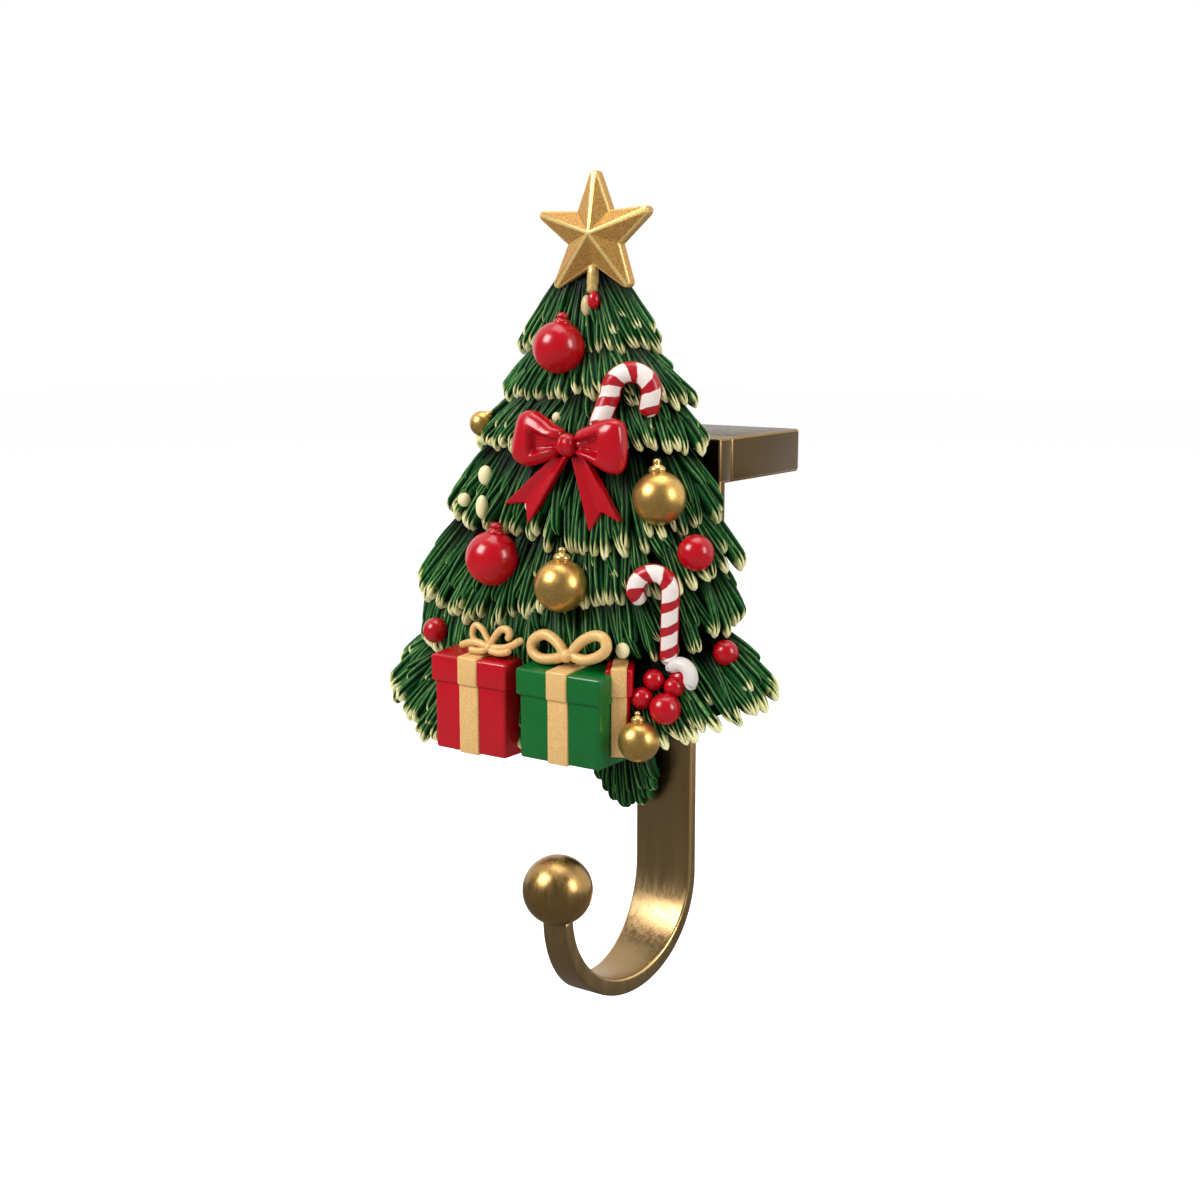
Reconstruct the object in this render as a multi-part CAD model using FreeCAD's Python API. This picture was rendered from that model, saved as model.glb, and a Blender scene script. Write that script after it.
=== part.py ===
import FreeCAD, Part
import math
import os

# Mantel stocking holder: a weighted bracket that sits on a mantel, with a J hook below
# and a cast Christmas tree figure on its front.
#
# Lengths are millimetres. X runs along the mantel, Y back over it and Z up.
# Pieces are laid out from the strap's front face (Y = 0), its middle (X = 0) and the
# underside of the mantel block (Z = 0). When a piece is saved it is moved, so that the
# origin is the middle of the grip pad's underside.

Vector = FreeCAD.Vector

# Mantel block
block_width = 28.8
block_height = 10.1
block_depth = 32.5
block_corner = 1.2
metal_edge = 0.5

# Strap: a head brazed to the block, a wide plate, a narrower strap and the J hook
strap_thickness = 2.6
head_thickness = 5.0
plate_bottom = -34.0
shoulder_drop = 24.0
strap_half_width = 7.7
tip_half_width = 3.0
tip_thickness = 3.0
bend_radius = 20.0
bend_centre_z = -90.2
bend_thickness = 3.8

# Ball on the hook's tip
ball_radius = 7.6
ball_centre_z = -84.7
ball_seat_radius = 3.6
ball_sides = 32
stud_radius = 1.1
stud_length = 5.5
stud_clearance = 0.05

# Grip pad under the block
pad_thickness = 1.5
pad_proud = 0.5
pad_margin = 3.0
pad_clearance = 0.1

# Screws that hold the figure to the strap
screw_radius = 1.75
screw_head_radius = 3.4
screw_head_height = 1.7
screw_grip = 5.5
screw_slot_width = 0.9
screw_slot_depth = 0.8
screw_hole_clearance = 0.2
upper_screw_z = -6.0
lower_screw_z = -42.0

# Tree figure: its flat back stands off the strap on a pad
figure_x = -13.0
figure_back = -8.0
back_pad_half_width = 8.0
back_pad_top = 3.0
back_pad_bottom = -52.0
back_pad_corner = 3.0

# Rows of boughs, from the top down: height of the lip, how far the lip rises to the
# right, how far it hangs at the front, half width, depth and shift of the row's middle
bough_rows = [
    (29.3, 0.0, -1.5, 19.8, 7.5, -1.5),
    (18.8, 0.3, -0.5, 26.3, 12.0, 0.7),
    (8.9, 0.3, -1.0, 31.4, 15.5, -1.3),
    (-5.3, 0.8, -6.0, 37.6, 18.0, -3.8),
    (-20.0, 5.2, -8.0, 45.6, 20.5, -6.2),
    (-33.5, 5.0, -7.0, 43.5, 22.0, -3.5),
    (-46.3, 4.2, -14.5, 54.6, 23.5, -5.8),
]
crown_half_width = 6.0
crown_depth = 2.0
crown_rise = 19.0
row_overlap = 4.0
row_step = 9.5
row_inset = 5.0
bough_spacing = 4.9
bough_width = 5.4
bough_height = 1.9
bough_depth = 2.4
bough_droop = 0.7
bough_fullness = 0.6
bough_root_share = 0.7
bough_tip_share = 0.4
bough_shoulder = 0.25
bough_lift_sway = 1.1
bough_reach_sway = 0.015
core_inset = 0.9
core_lift = 1.8
ring_sides = 12
seat_rise = 1.0

# Flat sides round the balls and cords, which keep the whole model light
bauble_sides = 12
berry_sides = 8
cord_sides = 8
cord_steps = 6

# Star and its stem
star_x = -9.9
star_z = 54.6
star_back = -11.5
star_half_width = 15.1
star_half_height = 13.9
star_waist = 0.47
star_wall = 2.2
star_rise = 3.4
star_points = 5
stem_radius = 1.15
stem_x = -10.8
stem_y = -12.9
stem_top = 50.0
stem_bottom = 41.5
bulb_radius = 1.5
bulb_drop = 1.6

# Baubles: middle across, middle height, radius and slant of the cap from upright
baubles = [
    (-16.1, 30.1, 5.7, -8.0),
    (-28.0, -16.8, 6.2, -8.0),
    (19.2, -12.8, 3.95, 0.0),
    (23.9, -34.5, 2.7, 10.0),
    (-48.0, -35.3, 2.8, -10.0),
    (11.7, -1.4, 5.8, 5.0),
    (-7.7, -20.8, 5.85, -3.0),
    (12.5, -52.6, 4.5, 3.0),
    (-43.8, 12.1, 2.9, 45.0),
]
bauble_sink = 0.55
cap_radius_share = 0.34
cap_height_share = 0.3
knob_radius_share = 0.27

# Berries by the low bauble, and the small beads of snow
berries = [
    (12.9, -40.1, 2.35),
    (17.3, -41.3, 2.2),
    (11.3, -43.9, 2.45),
    (16.9, -45.6, 3.4),
]
berry_proud = 1.2
beads = [
    (7.0, -33.7, 1.5),
    (-14.6, 14.7, 1.0),
    (-35.6, 0.8, 1.9),
    (-41.8, -5.1, 1.6),
    (-34.4, -5.7, 1.7),
]

# Ribbon bow on the boughs
bow_x = -7.6
bow_z = 9.6
bow_knot_radius = 2.3
bow_loop_length = 14.9
bow_loop_height = 12.0
bow_loop_depth = 5.6
bow_loop_tilt = 4.0
bow_loop_sides = 10
bow_loop_rings = [(0.0, 0.3), (0.45, 0.8), (0.85, 1.0), (1.0, 0.72)]
bow_knot_proud = 1.0
bow_tail_root_share = 0.33
bow_tail_thickness = 2.6
bow_tail_width = 7.6
bow_tail_notch = 3.2
bow_tail_ends = [(-21.7, -6.1), (2.4, -7.0)]

# Candy canes: foot of the stalk, start and end of the crook, and tip, across and up
upper_cane = [(-3.2, 12.5), (-1.4, 21.2), (7.2, 21.4), (6.4, 16.0)]
upper_cane_radius = 2.3
lower_cane = [(14.4, -36.1), (16.1, -20.2), (8.8, -20.5), (8.9, -23.3)]
lower_cane_radius = 2.0
cane_sink = 0.4
curl_radius = 2.3
curl_tube = 1.35
curl_x = 17.1
curl_z = -39.0
curl_start = 150.0
curl_end = -50.0

# Gifts at the foot of the tree: left edge, right edge, bottom and top of each front
gift_front = -36.0
gift_depth = 13.0
red_gift = (-39.5, -18.2, -60.2, -38.6)
green_gift = (-15.4, 7.0, -58.9, -38.8)
rear_gift = (10.3, 16.0, -56.5, -35.4)
rear_gift_setback = 7.0
rear_gift_turn = 30.0
lid_height = 6.0
lid_overhang = 0.6
lid_top_slope = 1.2
ribbon_width = 5.4
rear_ribbon_width = 3.8
ribbon_proud = 0.45
gift_bow_tube = 1.2
gift_bow_rise = 1.5
gift_bow_setback = 3.9
red_gift_bow = (-25.2, 4.6, 2.2)
green_gift_bow = (-3.9, 6.9, 2.6)

# Tuft of boughs that hangs below the tree, in front of the strap
tuft_x = -8.8
tuft_root_z = -58.0
tuft_length = 19.6
tuft_half_width = 8.6
tuft_neck = 12.0
tuft_back = -1.0
tuft_thickness = 5.0
tuft_boughs = 5
tuft_root_share = 0.75
tuft_outer_drop = 0.3
tuft_core_share = 0.85
tuft_core_side_drop = 0.55
tuft_core_middle_drop = 0.9

# Sizes that follow from the ones above
block_front = head_thickness
block_back = head_thickness + block_depth
tip_y = -2 * bend_radius - tip_thickness / 2
tip_z = ball_centre_z - math.sqrt(ball_radius ** 2 - ball_seat_radius ** 2)
shoulder_bottom = plate_bottom - shoulder_drop
outer_radius = (2 * bend_radius + strap_thickness + tip_thickness) / 2
outer_centre_z = bend_centre_z - bend_radius - bend_thickness + outer_radius
pad_front = block_front + pad_margin
pad_back = block_back - pad_margin
origin = Vector(0, (pad_front + pad_back) / 2, -pad_proud)
widest_row = max(row[3] for row in bough_rows)


def save(shape, name):
    """Move a piece to the part's own origin and write it as a STEP file."""
    placed = shape.copy()
    placed.translate(Vector(0, 0, 0) - origin)
    placed.exportStep("parts/" + name + ".step")
    print(name, "solids", len(placed.Solids), "valid", placed.isValid(), "volume", round(placed.Volume, 1))


def box_between(low, high):
    """A block between two opposite corners."""
    size = high - low
    return Part.makeBox(size.x, size.y, size.z, low)


def prism(outline, sweep):
    """A closed outline of points, pushed along a vector."""
    face = Part.Face(Part.makePolygon(outline + [outline[0]]))
    return face.extrude(sweep)


def stacked_rings(rings, twisted=False):
    """A solid through flat rings of points that all have the same number of points. Between
    twisted rings each side is two triangles."""
    count = len(rings[0])
    faces = []
    for lower, upper in zip(rings, rings[1:]):
        for i in range(count):
            j = (i + 1) % count
            if twisted:
                sides = [[lower[i], lower[j], upper[j]], [lower[i], upper[j], upper[i]]]
            else:
                sides = [[lower[i], lower[j], upper[j], upper[i]]]
            faces += [Part.Face(Part.makePolygon(side + [side[0]])) for side in sides]
    for ring in (rings[0], rings[-1]):
        faces.append(Part.Face(Part.makePolygon(ring + [ring[0]])))
    solid = Part.Solid(Part.Shell(faces))
    if solid.Volume < 0:
        solid.reverse()
    return solid


def faceted_ball(centre, radius, sides):
    """A ball in flat facets, with its poles above and below."""
    bands = sides // 2
    rings = []
    for band in range(bands + 1):
        slope = math.pi * (band + 0.25) / (bands + 0.5) - math.pi / 2
        ring = []
        for i in range(sides):
            turn = 2 * math.pi * (i + 0.5) / sides
            reach = radius * math.cos(slope)
            out = Vector(math.cos(turn), math.sin(turn), 0)
            ring.append(centre + out * reach + Vector(0, 0, radius * math.sin(slope)))
        rings.append(ring)
    return stacked_rings(rings)


def faceted_tube(points, radius):
    """A tube in flat facets along a line of points that stays close to one upright plane."""
    rings = []
    across = Vector(0, -1, 0)
    for i, point in enumerate(points):
        before = points[max(i - 1, 0)]
        after = points[min(i + 1, len(points) - 1)]
        side = (after - before).cross(across)
        side.normalize()
        ring = []
        for n in range(cord_sides):
            turn = 2 * math.pi * n / cord_sides
            ring.append(point + side * (radius * math.cos(turn)) + across * (radius * math.sin(turn)))
        rings.append(ring)
    return stacked_rings(rings, twisted=True)


def arc_points(centre, radius, start, end):
    """Points along an arc in the upright plane through its centre, with its angles in degrees."""
    points = []
    for step in range(cord_steps + 1):
        angle = math.radians(start + (end - start) * step / cord_steps)
        points.append(centre + Vector(radius * math.cos(angle), 0, radius * math.sin(angle)))
    return points


def make_strap_plate():
    """Head and wide plate, narrowing at the shoulders to the strap's width."""
    half = block_width / 2
    side = [
        Vector(-half, 0, block_height),
        Vector(-half, head_thickness, block_height),
        Vector(-half, head_thickness, 0),
        Vector(-half, strap_thickness, 0),
        Vector(-half, strap_thickness, shoulder_bottom),
        Vector(-half, 0, shoulder_bottom),
    ]
    plate = prism(side, Vector(block_width, 0, 0))
    right = [(half, block_height), (half, plate_bottom), (strap_half_width, shoulder_bottom)]
    outline = [Vector(x, 0, z) for x, z in right] + [Vector(-x, 0, z) for x, z in reversed(right)]
    plate = plate.common(prism(outline, Vector(0, head_thickness, 0)))
    eased = []
    for edge in plate.Edges:
        box = edge.BoundBox
        at_block = box.YMin > strap_thickness + 0.01
        across_plate = box.YLength > 0.01 and box.ZLength < 0.01
        at_step = box.ZMin > -0.01 and box.ZMax < 0.01
        at_strap = box.ZMax < shoulder_bottom + 0.01
        if not (at_block or at_step or at_strap or (across_plate and box.ZMax < 0)):
            eased.append(edge)
    return plate.makeChamfer(metal_edge, eased)


def make_strap_and_hook():
    """Straight strap and J hook: two arcs of different centres, with sides that close in to the tip."""
    inner_front = Vector(0, -2 * bend_radius, bend_centre_z)
    inner_low = Vector(0, -bend_radius, bend_centre_z - bend_radius)
    inner_back = Vector(0, 0, bend_centre_z)
    outer_front = Vector(0, strap_thickness - 2 * outer_radius, outer_centre_z)
    outer_low = Vector(0, strap_thickness - outer_radius, outer_centre_z - outer_radius)
    outer_back = Vector(0, strap_thickness, outer_centre_z)
    above_tip = max(tip_z, bend_centre_z, outer_centre_z) + 1
    limb_inner = Vector(0, inner_front.y, above_tip)
    limb_outer = Vector(0, outer_front.y, above_tip)
    strap_top = shoulder_bottom + metal_edge
    top_front = Vector(0, 0, strap_top)
    top_back = Vector(0, strap_thickness, strap_top)
    profile = Part.Wire([
        Part.makeLine(top_front, top_back),
        Part.makeLine(top_back, outer_back),
        Part.Arc(outer_back, outer_low, outer_front).toShape(),
        Part.makeLine(outer_front, limb_outer),
        Part.makeLine(limb_outer, limb_inner),
        Part.makeLine(limb_inner, inner_front),
        Part.Arc(inner_front, inner_low, inner_back).toShape(),
        Part.makeLine(inner_back, top_front),
    ])
    face = Part.Face(profile)
    face.translate(Vector(-strap_half_width, 0, 0))
    body = face.extrude(Vector(2 * strap_half_width, 0, 0))
    lowest = outer_low.z - 1
    plan = [
        Vector(strap_half_width, strap_thickness, lowest),
        Vector(tip_half_width, outer_front.y, lowest),
        Vector(-tip_half_width, outer_front.y, lowest),
        Vector(-strap_half_width, strap_thickness, lowest),
    ]
    body = body.common(prism(plan, Vector(0, 0, strap_top - lowest)))
    over_tip = box_between(
        Vector(-strap_half_width, outer_front.y - 1, tip_z),
        Vector(strap_half_width, -bend_radius, above_tip + 1),
    )
    body = body.cut(over_tip).removeSplitter()
    eased = []
    for edge in body.Edges:
        box = edge.BoundBox
        across = box.XLength > tip_half_width * 2 - 0.01
        at_ends = box.ZLength < 0.01
        if not (across or at_ends):
            eased.append(edge)
    return body.makeChamfer(metal_edge, eased)


def make_hook_strap():
    """Head, plate, strap and J hook in one piece, with the stud for the ball."""
    stud = Part.makeCylinder(stud_radius, stud_length + 1, Vector(0, tip_y, tip_z - 1))
    body = make_strap_plate().fuse([make_strap_and_hook(), stud])
    for z in (upper_screw_z, lower_screw_z):
        body = body.cut(screw_body(z, screw_hole_clearance))
    return body.removeSplitter()


def make_mantel_block():
    """Solid block behind the head, with a shallow seat for the grip pad underneath."""
    half = block_width / 2
    block = box_between(Vector(-half, block_front, 0), Vector(half, block_back, block_height))
    corners = [e for e in block.Edges if e.BoundBox.YMin > block_back - 0.01 and e.BoundBox.ZLength > 1]
    block = block.makeFillet(block_corner, corners)
    rims = [e for e in block.Edges if e.BoundBox.YMax > block_front + 0.01 and e.BoundBox.ZLength < 0.01]
    block = block.makeChamfer(metal_edge, rims)
    return block.cut(pad_shape(pad_clearance))


def pad_shape(clearance):
    """The grip pad, or its seat when a clearance is given."""
    half = block_width / 2 - pad_margin + clearance
    low = Vector(-half, pad_front - clearance, -pad_proud)
    high = Vector(half, pad_back + clearance, pad_thickness - pad_proud)
    pad = box_between(low, high)
    corners = [e for e in pad.Edges if e.BoundBox.ZLength > 0.5 * pad_thickness]
    return pad.makeFillet(block_corner + clearance, corners)


def make_hook_ball():
    """Ball with a flat seat for the hook's tip and a bore for its stud."""
    centre = Vector(0, tip_y, ball_centre_z)
    ball = faceted_ball(centre, ball_radius, ball_sides)
    below = box_between(
        Vector(-ball_radius, tip_y - ball_radius, ball_centre_z - ball_radius - 1),
        Vector(ball_radius, tip_y + ball_radius, tip_z),
    )
    bore_radius = stud_radius + stud_clearance
    bore = Part.makeCylinder(bore_radius, stud_length + stud_clearance, Vector(0, tip_y, tip_z))
    return ball.cut(below).cut(bore)


def screw_body(z, clearance):
    """One countersunk screw, or its hole when a clearance is given. The head is at the strap's back."""
    forward = Vector(0, -1, 0)
    back = strap_thickness
    start = Vector(0, back, z)
    wide = screw_head_radius + clearance
    narrow = screw_radius + clearance
    head = Part.makeCone(wide, narrow, screw_head_height, start, forward)
    shank = Part.makeCylinder(narrow, strap_thickness + screw_grip, start, forward)
    return head.fuse(shank)


def make_figure_screws():
    """The two screws, each with a slot across its head."""
    screws = []
    for z in (upper_screw_z, lower_screw_z):
        slot = box_between(
            Vector(-screw_head_radius, strap_thickness - screw_slot_depth, z - screw_slot_width / 2),
            Vector(screw_head_radius, strap_thickness + 1, z + screw_slot_width / 2),
        )
        screws.append(screw_body(z, 0).cut(slot))
    return Part.makeCompound(screws)


def row_top(index):
    """Half width, depth, shift and rise above the lip of the ring where a row of boughs starts."""
    if index == 0:
        return crown_half_width, crown_depth, bough_rows[0][5], crown_rise
    lip, tilt, hang, half, depth, shift = bough_rows[index - 1]
    return half - row_step, depth - row_inset, shift, lip - bough_rows[index][0] + row_overlap


def row_point(index, angle, reach, lift, inset=0.0):
    """A point on a row's slope. Angle 0 is the right side and pi the left side, and reach
    goes from 0 where the row starts to 1 at its lip."""
    lip, tilt, hang, half, depth, shift = bough_rows[index]
    top_half, top_depth, top_shift, rise = row_top(index)
    across = (top_half + (half - top_half) * reach - inset) * math.cos(angle)
    forward = (top_depth + (depth - top_depth) * reach - inset) * math.sin(angle)
    middle = figure_x + top_shift + (shift - top_shift) * reach
    height = lip + rise * (1 - reach) + lift + tilt * across / half + hang * forward / depth
    return Vector(middle + across, figure_back - forward, height)


def boughs_front(x, z):
    """How far forward the boughs reach at a place on the tree's front."""
    front = figure_back
    steps = 80
    for index, row in enumerate(bough_rows):
        lip, tilt, hang, half, depth, shift = row
        top_half, top_depth, top_shift, rise = row_top(index)
        for step in range(steps + 1):
            reach = step / steps
            across = x - figure_x - top_shift - (shift - top_shift) * reach
            side = across / (top_half + (half - top_half) * reach)
            if abs(side) > 1:
                continue
            forward = (top_depth + (depth - top_depth) * reach) * math.sqrt(1 - side ** 2)
            height = lip + rise * (1 - reach) + tilt * across / half + hang * forward / depth
            if abs(height - z) < rise / steps:
                front = min(front, figure_back - forward)
    return front


def seat(x, z):
    """Where an ornament touches the ridges of the boughs."""
    return boughs_front(x, z) - seat_rise


def even_angles(half, depth, count):
    """Angles that divide a half ellipse into equal lengths, at the middle of each."""
    steps = 360
    lengths = [0.0]
    for i in range(steps):
        angle = math.pi * (i + 0.5) / steps
        lengths.append(lengths[-1] + math.hypot(half * math.sin(angle), depth * math.cos(angle)))
    angles = []
    for n in range(count):
        wanted = lengths[-1] * (n + 0.5) / count
        passed = [i for i, length in enumerate(lengths) if length <= wanted]
        angles.append(math.pi * passed[-1] / steps)
    return angles


def bough(root, tip, outward, width):
    """One bough: a ridged finger that swells towards its middle and narrows to its tip."""
    along = tip - root
    across = along.cross(outward)
    across.normalize()
    up = across.cross(along)
    up.normalize()
    shoulder = bough_shoulder * bough_height
    section = [
        (-width / 2, -bough_depth),
        (-width / 2, shoulder),
        (0.0, bough_height),
        (width / 2, shoulder),
        (width / 2, -bough_depth),
    ]
    rings = []
    stations = [
        (0.0, bough_root_share, 0.0),
        (bough_fullness, 1.0, bough_droop),
        (1.0, bough_tip_share, 0.0),
    ]
    for share, size, droop in stations:
        middle = root + along * share + up * droop
        rings.append([middle + across * (size * u) + up * (size * v) for u, v in section])
    return stacked_rings(rings)


def make_bough_row(index):
    """A row's core with its boughs fanned round the front."""
    half = bough_rows[index][3]
    depth = bough_rows[index][4]
    turns = [math.pi * i / ring_sides for i in range(ring_sides + 1)]
    core_lip = [row_point(index, turn, 1, core_lift, core_inset) for turn in turns]
    core_top = [row_point(index, turn, 0, 0) for turn in turns]
    solids = [stacked_rings([core_lip, core_top], twisted=True)]
    length = math.pi * math.sqrt((half ** 2 + depth ** 2) / 2)
    count = round(length / bough_spacing)
    for n, angle in enumerate(even_angles(half, depth, count)):
        lift = bough_lift_sway * math.sin(2.3 * n + 1.9 * index)
        root = row_point(index, angle, 0, 0)
        tip = row_point(index, angle, 1 + bough_reach_sway * math.sin(1.7 * n), lift)
        outward = Vector(math.cos(angle) / half, -math.sin(angle) / depth, 0)
        outward.normalize()
        solids.append(bough(root, tip, outward, bough_width))
    return solids


def make_star():
    """Five pointed star with a ridge along each point, on a straight wall."""
    outline = []
    corners = 2 * star_points
    for i in range(corners):
        angle = math.pi / 2 + 2 * math.pi * i / corners
        reach = 1.0 if i % 2 == 0 else star_waist
        x = star_x + star_half_width * reach * math.cos(angle)
        z = star_z + star_half_height * reach * math.sin(angle)
        outline.append(Vector(x, star_back, z))
    wall = prism(outline, Vector(0, -star_wall, 0))
    rim = [point - Vector(0, star_wall, 0) for point in outline]
    apex = Vector(star_x, star_back - star_wall - star_rise, star_z)
    faces = [Part.Face(Part.makePolygon(rim + [rim[0]]))]
    for i in range(corners):
        j = (i + 1) % corners
        faces.append(Part.Face(Part.makePolygon([rim[i], rim[j], apex, rim[i]])))
    point_shape = Part.Solid(Part.Shell(faces))
    if point_shape.Volume < 0:
        point_shape.reverse()
    stem_foot = Vector(stem_x, stem_y, stem_bottom)
    stem = faceted_tube([stem_foot, Vector(stem_x, stem_y, stem_top)], stem_radius)
    lug = box_between(
        Vector(stem_x - stem_radius, stem_y, stem_bottom),
        Vector(stem_x + stem_radius, star_back, stem_top),
    )
    bulb_z = stem_bottom - bulb_drop
    bulb_y = boughs_front(stem_x, bulb_z) - bough_height / 2
    bulb = faceted_ball(Vector(stem_x, bulb_y, bulb_z), bulb_radius, cord_sides)
    return [wall.fuse(point_shape), stem, lug, bulb]


def make_bauble(x, z, radius, slant):
    """A ball sunk in the boughs, with its cap and hanging loop."""
    y = seat(x, z) - radius * (1 - bauble_sink)
    centre = Vector(x, y, z)
    lean = Vector(math.sin(math.radians(slant)), 0, math.cos(math.radians(slant)))
    cap_top = centre + lean * radius * (1 + cap_height_share)
    cap = faceted_tube([centre, cap_top], cap_radius_share * radius)
    knob_radius = knob_radius_share * radius
    knob = faceted_ball(cap_top + lean * (knob_radius / 2), knob_radius, cord_sides)
    return [faceted_ball(centre, radius, bauble_sides), cap, knob]


def make_berries():
    """The cluster of berries and the single beads of snow."""
    solids = []
    placed = [(berry, berry_proud) for berry in berries] + [(bead, 0) for bead in beads]
    for (x, z, radius), proud in placed:
        y = seat(x, z) - radius * (1 - bauble_sink) - proud
        solids.append(faceted_ball(Vector(x, y, z), radius, berry_sides))
    return solids


def make_bow():
    """Ribbon bow: a round knot, two full loops and two tails with notched ends."""
    y = seat(bow_x, bow_z) - bow_loop_depth / 2
    solids = [faceted_ball(Vector(bow_x, y - bow_knot_proud, bow_z), bow_knot_radius, berry_sides)]
    for side in (-1, 1):
        rings = []
        for share, size in bow_loop_rings:
            ring = []
            for i in range(bow_loop_sides):
                angle = 2 * math.pi * (i + 0.5) / bow_loop_sides
                forward = bow_loop_depth / 2 * size * math.cos(angle)
                up = bow_loop_height / 2 * size * math.sin(angle)
                ring.append(Vector(bow_x + side * bow_loop_length * share, y - forward, bow_z + up))
            rings.append(ring)
        loop = stacked_rings(rings)
        loop.rotate(Vector(bow_x, y, bow_z), Vector(0, 1, 0), -side * bow_loop_tilt)
        solids.append(loop)
    for end_x, end_z in bow_tail_ends:
        root = Vector(bow_x, y + bow_tail_thickness / 2, bow_z)
        end = Vector(end_x, seat(end_x, end_z), end_z)
        along = end - root
        along.normalize()
        across = along.cross(Vector(0, -1, 0))
        across.normalize()
        half = bow_tail_width / 2
        outline = [
            root - across * (half * bow_tail_root_share),
            end - across * half,
            end - along * bow_tail_notch,
            end + across * half,
            root + across * (half * bow_tail_root_share),
        ]
        solids.append(prism(outline, across.cross(along) * bow_tail_thickness))
    return solids


def make_cane(points, radius):
    """A candy cane: a straight stalk, a round crook and a short tip, sunk a little in the boughs."""
    foot, bend, turn, tip = [Vector(x, seat(x, z) - radius * (1 - cane_sink), z) for x, z in points]
    span = turn - bend
    line = [foot]
    for step in range(cord_steps + 1):
        angle = math.pi * step / cord_steps
        height = math.sin(angle) * span.Length / 2
        line.append(bend + span * ((1 - math.cos(angle)) / 2) + Vector(0, 0, height))
    line.append(tip)
    return [faceted_tube(line, radius)]


def make_curl():
    """The small curl of sugar at the foot of the lower cane."""
    centre = Vector(curl_x, seat(curl_x, curl_z) - curl_tube / 2, curl_z)
    return [faceted_tube(arc_points(centre, curl_radius, curl_start, curl_end), curl_tube)]


def ribbon_loop(knot, centre, radius):
    """A drop shaped loop of ribbon cord: round at its outer end and straight back to the knot."""
    to_knot = knot - centre
    half_opening = math.degrees(math.acos(radius / to_knot.Length))
    towards = math.degrees(math.atan2(to_knot.z, to_knot.x))
    halves = []
    for turn in (half_opening - 180, 180 - half_opening):
        outer_half = arc_points(centre, radius, towards + 180, towards + 180 + turn)
        halves.append(faceted_tube(outer_half + [knot], gift_bow_tube))
    return halves


def make_gift(edges, front, ribbon_wide, bow=None, turn=0.0):
    """A wrapped box with its lid, ribbon and, where given, a bow of two loops and a knot. It may
    be turned about the middle of its front, in degrees."""
    left, right, bottom, top = edges
    back = front + gift_depth
    body = box_between(
        Vector(left + lid_overhang, front + lid_overhang, bottom),
        Vector(right - lid_overhang, back, top - lid_height / 2),
    )
    lid_bottom = top - lid_height
    lid_outline = [
        Vector(left, front, lid_bottom),
        Vector(left, front, top),
        Vector(left, back, top + lid_top_slope),
        Vector(left, back, lid_bottom),
    ]
    lid = prism(lid_outline, Vector(right - left, 0, 0))
    middle = (left + right) / 2
    ribbon = box_between(
        Vector(middle - ribbon_wide / 2, front - ribbon_proud, bottom),
        Vector(middle + ribbon_wide / 2, back, top + lid_top_slope + ribbon_proud),
    )
    solids = [body, lid, ribbon]
    for solid in solids:
        solid.rotate(Vector(middle, front, 0), Vector(0, 0, 1), turn)
    if bow:
        bow_middle, reach, radius = bow
        knot = Vector(bow_middle, front + gift_bow_setback, top + lid_top_slope + gift_bow_tube)
        solids.append(faceted_ball(knot, 1.5 * gift_bow_tube, cord_sides))
        for side in (-1, 1):
            centre = knot + Vector(side * reach, 0, radius - gift_bow_tube + gift_bow_rise)
            solids += ribbon_loop(knot, centre, radius)
    return solids


def make_tuft():
    """Boughs hanging below the tree, fanned downwards in front of the strap."""
    solids = []
    root_middle = Vector(tuft_x, tuft_back - tuft_thickness + bough_height, tuft_root_z)
    outward = Vector(0, -1, 0)
    for i in range(tuft_boughs):
        share = 2 * i / (tuft_boughs - 1) - 1
        root = root_middle + Vector(share * tuft_root_share * tuft_half_width, 0, 0)
        drop = tuft_length * (1 - tuft_outer_drop * share ** 2)
        tip = root_middle + Vector(share * tuft_half_width, 0, -drop)
        solids.append(bough(root, tip, outward, bough_width))
    side = tuft_core_share * tuft_half_width
    side_end = tuft_root_z - tuft_core_side_drop * tuft_length
    middle_end = tuft_root_z - tuft_core_middle_drop * tuft_length
    core = [
        Vector(tuft_x - side, tuft_back, tuft_root_z),
        Vector(tuft_x - side, tuft_back, side_end),
        Vector(tuft_x, tuft_back, middle_end),
        Vector(tuft_x + side, tuft_back, side_end),
        Vector(tuft_x + side, tuft_back, tuft_root_z),
    ]
    solids.append(prism(core, Vector(0, -tuft_thickness + bough_height, 0)))
    neck_low = Vector(tuft_x - side, figure_back - 1, tuft_root_z)
    neck_high = Vector(tuft_x + side, tuft_back, tuft_root_z + tuft_neck)
    solids.append(box_between(neck_low, neck_high))
    return solids


def make_back_pad():
    """The raised pad on the figure's back that meets the strap."""
    pad = box_between(
        Vector(-back_pad_half_width, figure_back - 2, back_pad_bottom),
        Vector(back_pad_half_width, 0, back_pad_top),
    )
    corners = [e for e in pad.Edges if e.BoundBox.YLength > 1]
    return pad.makeChamfer(back_pad_corner, corners)


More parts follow.
